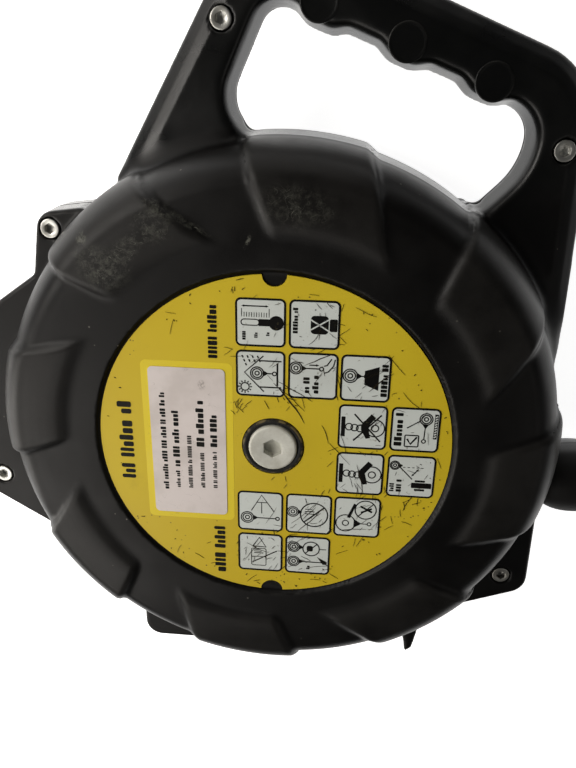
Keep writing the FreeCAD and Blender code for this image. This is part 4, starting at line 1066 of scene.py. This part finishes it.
def scratch(x, y, heading, length, width):
    """A thin line that bends a little and tapers to nothing at both ends."""
    line = []
    for k in range(7):
        line.append((x, y, width * math.sin(math.pi * (k + 0.35) / 6.7)))
        heading += wear_rng.uniform(-0.16, 0.16)
        x += math.cos(heading) * length / 6
        y += math.sin(heading) * length / 6
    far = [math.hypot(px, py) for px, py, _ in line]
    if max(far) > LABEL_R - 1 or min(far) < CENTRE_CLEAR or length < 0.3:
        return
    ux, uy = direction(line[0], line[-1])
    scratches.solid([(px - uy * w / 2, py + ux * w / 2) for px, py, w in line] +
                    [(px + uy * w / 2, py - ux * w / 2) for px, py, w in reversed(line)])


# Long scratches across the label: start, heading, length and width.
for line in (
        (0.0, 29.4, -0.62, 22, 0.6), (1.5, 30.4, -0.55, 17, 0.34), (3.0, 27.0, -0.75, 14, 0.24),
        (12.6, 37.9, 0.5, 13, 0.34), (39.0, 27.6, 0.6, 13, 0.45), (40.5, 30.4, 0.42, 10, 0.2),
        (20.4, 11.3, -1.05, 9, 0.22), (14.0, 46.8, 0.55, 9, 0.2), (36.0, -6.5, -1.35, 15, 0.42),
        (11.0, -42.7, 0.85, 17, 0.34), (8.5, -38.0, 0.7, 15, 0.18), (13.5, -36.0, 0.9, 9, 0.3),
        (-13.0, -60.0, 0.95, 16, 0.22), (-11.5, -50.0, -0.35, 11, 0.16), (6.0, -55.0, 0.8, 13, 0.2),
        (30.0, -40.0, 0.35, 12, 0.26), (26.0, 33.0, -1.3, 8, 0.2), (46.0, 44.0, -0.9, 11, 0.16),
        (53.0, 28.0, -0.8, 12, 0.14), (57.0, -28.0, 1.2, 9, 0.2), (32.0, 63.0, -0.5, 9, 0.14),
        (24.0, 3.0, -0.9, 13, 0.16), (28.0, 8.0, -1.2, 10, 0.12), (44.0, -38.0, 0.9, 9, 0.16),
        (16.0, -62.0, 0.5, 10, 0.16), (-3.0, -39.0, 1.2, 10, 0.18), (39.0, 8.0, 0.9, 9, 0.2),
        (60.0, 14.0, 1.1, 7, 0.18)):
    scratch(*line)
# Short strokes in tufts: centre, spread, heading and count.
for tuft_x, tuft_y, spread, heading, count in (
        (-14.5, 18.0, 2.2, 1.25, 12), (-9.5, -6.0, 2.2, 0.7, 12), (4.0, 26.0, 4.0, -0.6, 12),
        (16.0, 36.0, 5.0, 0.6, 10), (41.0, 30.0, 4.0, 0.7, 12), (16.0, -38.0, 6.0, 0.9, 22),
        (37.0, -14.0, 4.0, -1.2, 12), (40.0, -31.0, 6.0, 0.5, 14), (-6.0, -56.0, 7.0, 0.9, 18),
        (14.0, -57.0, 6.0, 0.8, 14), (18.0, 57.0, 6.0, -0.8, 12), (58.0, -20.0, 6.0, 1.0, 12),
        (42.0, 10.0, 6.0, 0.8, 12), (-16.0, 69.0, 2.5, 1.2, 7), (2.0, 70.0, 5.0, 0.9, 5)):
    for _ in range(count):
        scratch(tuft_x + wear_rng.gauss(0, spread), tuft_y + wear_rng.gauss(0, spread),
                heading + wear_rng.gauss(0, 0.45), wear_rng.uniform(0.8, 5.0), wear_rng.uniform(0.09, 0.24))
# Fine ones anywhere but on the data plate.
for _ in range(90):
    far = LABEL_R * math.sqrt(wear_rng.random())
    turn = wear_rng.uniform(-2.4, 2.4)
    sx, sy = far * math.cos(turn), far * math.sin(turn)
    if sx < -14 and abs(sy) < 40:
        continue
    scratch(sx, sy, wear_rng.gauss(0.9, 0.8), wear_rng.uniform(1.0, 6), wear_rng.uniform(0.07, 0.16))
# Nicks along the label's edge.
for _ in range(60):
    turn = wear_rng.uniform(-math.pi, math.pi)
    far = LABEL_R - 1.5 - abs(wear_rng.gauss(0, 5))
    scratch(far * math.cos(turn), far * math.sin(turn), turn + wear_rng.uniform(-0.9, 0.9),
            wear_rng.uniform(0.4, 1.2), wear_rng.uniform(0.2, 0.5))
scratches.piece("label_scratches", "yellow_label", SCRATCH)
ink.piece("label_print", "yellow_label", INK)
tiles.piece("label_tiles", "yellow_label", TILE)
tiles_top.piece("label_tile_lines", "yellow_label", TILE)
plate_ink.piece("plate_print", "white_plate", INK)
band.piece("label_band", "yellow_label", BAND)


# ---- studio ----
FLOOR_HALF = 6.0
FLOOR_Z = -0.0002
FLOOR_GLOW = 0.9                # keeps the pale floor free of hard shadows
AMBIENT = 0.045                 # the all-round light
WARM = (1.0, 0.955, 0.90)
AIM = 0.08                      # the height that the lights point at, above the origin


def floor():
    mesh = bpy.data.meshes.new("floor")
    corners = [(-1, -1), (1, -1), (1, 1), (-1, 1)]
    mesh.from_pydata([(x * FLOOR_HALF, y * FLOOR_HALF, FLOOR_Z) for x, y in corners], [], [(0, 1, 2, 3)])
    obj = bpy.data.objects.new("floor", mesh)
    bpy.context.scene.collection.objects.link(obj)
    s = Shader("pale_floor")
    tone = s.mix(s.noise(6.0, 2.0), (0.86, 0.86, 0.855), (0.9, 0.9, 0.895))
    mesh.materials.append(s.finish(tone, 0.7))
    glow = next(node for node in s.tree.nodes if node.type == "BSDF_PRINCIPLED")
    s.feed(glow, Emission_Color=(1.0, 1.0, 1.0, 1.0), Emission_Strength=FLOOR_GLOW)


def area_light(name, place, size, power, aim=AIM):
    data = bpy.data.lights.new(name, "AREA")
    data.shape = "RECTANGLE"
    data.size = data.size_y = size
    data.energy = power
    data.color = WARM
    obj = bpy.data.objects.new(name, data)
    obj.location = place
    obj.rotation_euler = (Vector((0, 0, aim)) - Vector(place)).to_track_quat("-Z", "Y").to_euler()
    bpy.context.scene.collection.objects.link(obj)


floor()
area_light("key", (-0.5, -0.5, 0.76), 0.6, 3.5)
area_light("near", (-0.45, 0.2, 0.45), 0.3, 1.8)
area_light("rim", (-0.66, 0.66, 0.39), 0.5, 1.8)
area_light("handle", (0.0, 0.94, 0.39), 0.5, 0.7)
area_light("low_left", (-0.85, -0.35, 0.30), 0.4, 3.4, 0.06)
area_light("far_side", (0.66, -0.3, 0.75), 0.5, 0.4)

# Past the floor's far edge the world looks as pale as the floor; as a light it is dim.
world = bpy.data.worlds.new("studio")
world.use_nodes = True
bpy.context.scene.world = world
nodes, links = world.node_tree.nodes, world.node_tree.links
nodes["Background"].inputs["Color"].default_value = (1, 1, 1, 1)
ray = nodes.new("ShaderNodeLightPath")
strength = nodes.new("ShaderNodeMath")
strength.operation = "MAXIMUM"
strength.inputs[1].default_value = AMBIENT
links.new(ray.outputs["Is Camera Ray"], strength.inputs[0])
links.new(strength.outputs[0], nodes["Background"].inputs["Strength"])

# The camera looks down on the label as the photograph does.
camera = bpy.data.objects.new("camera", bpy.data.cameras.new("camera"))
camera.data.lens = 34.13
camera.data.sensor_width = 36.0
camera.matrix_world = Matrix(((0.9958, -0.0496, 0.0768, 0.0289), (0.0155, 0.9196, 0.3926, 0.1465),
                              (-0.0901, -0.3897, 0.9165, 0.3601), (0, 0, 0, 1)))
bpy.context.scene.collection.objects.link(camera)
bpy.context.scene.camera = camera
bpy.context.scene.view_settings.view_transform = "Standard"
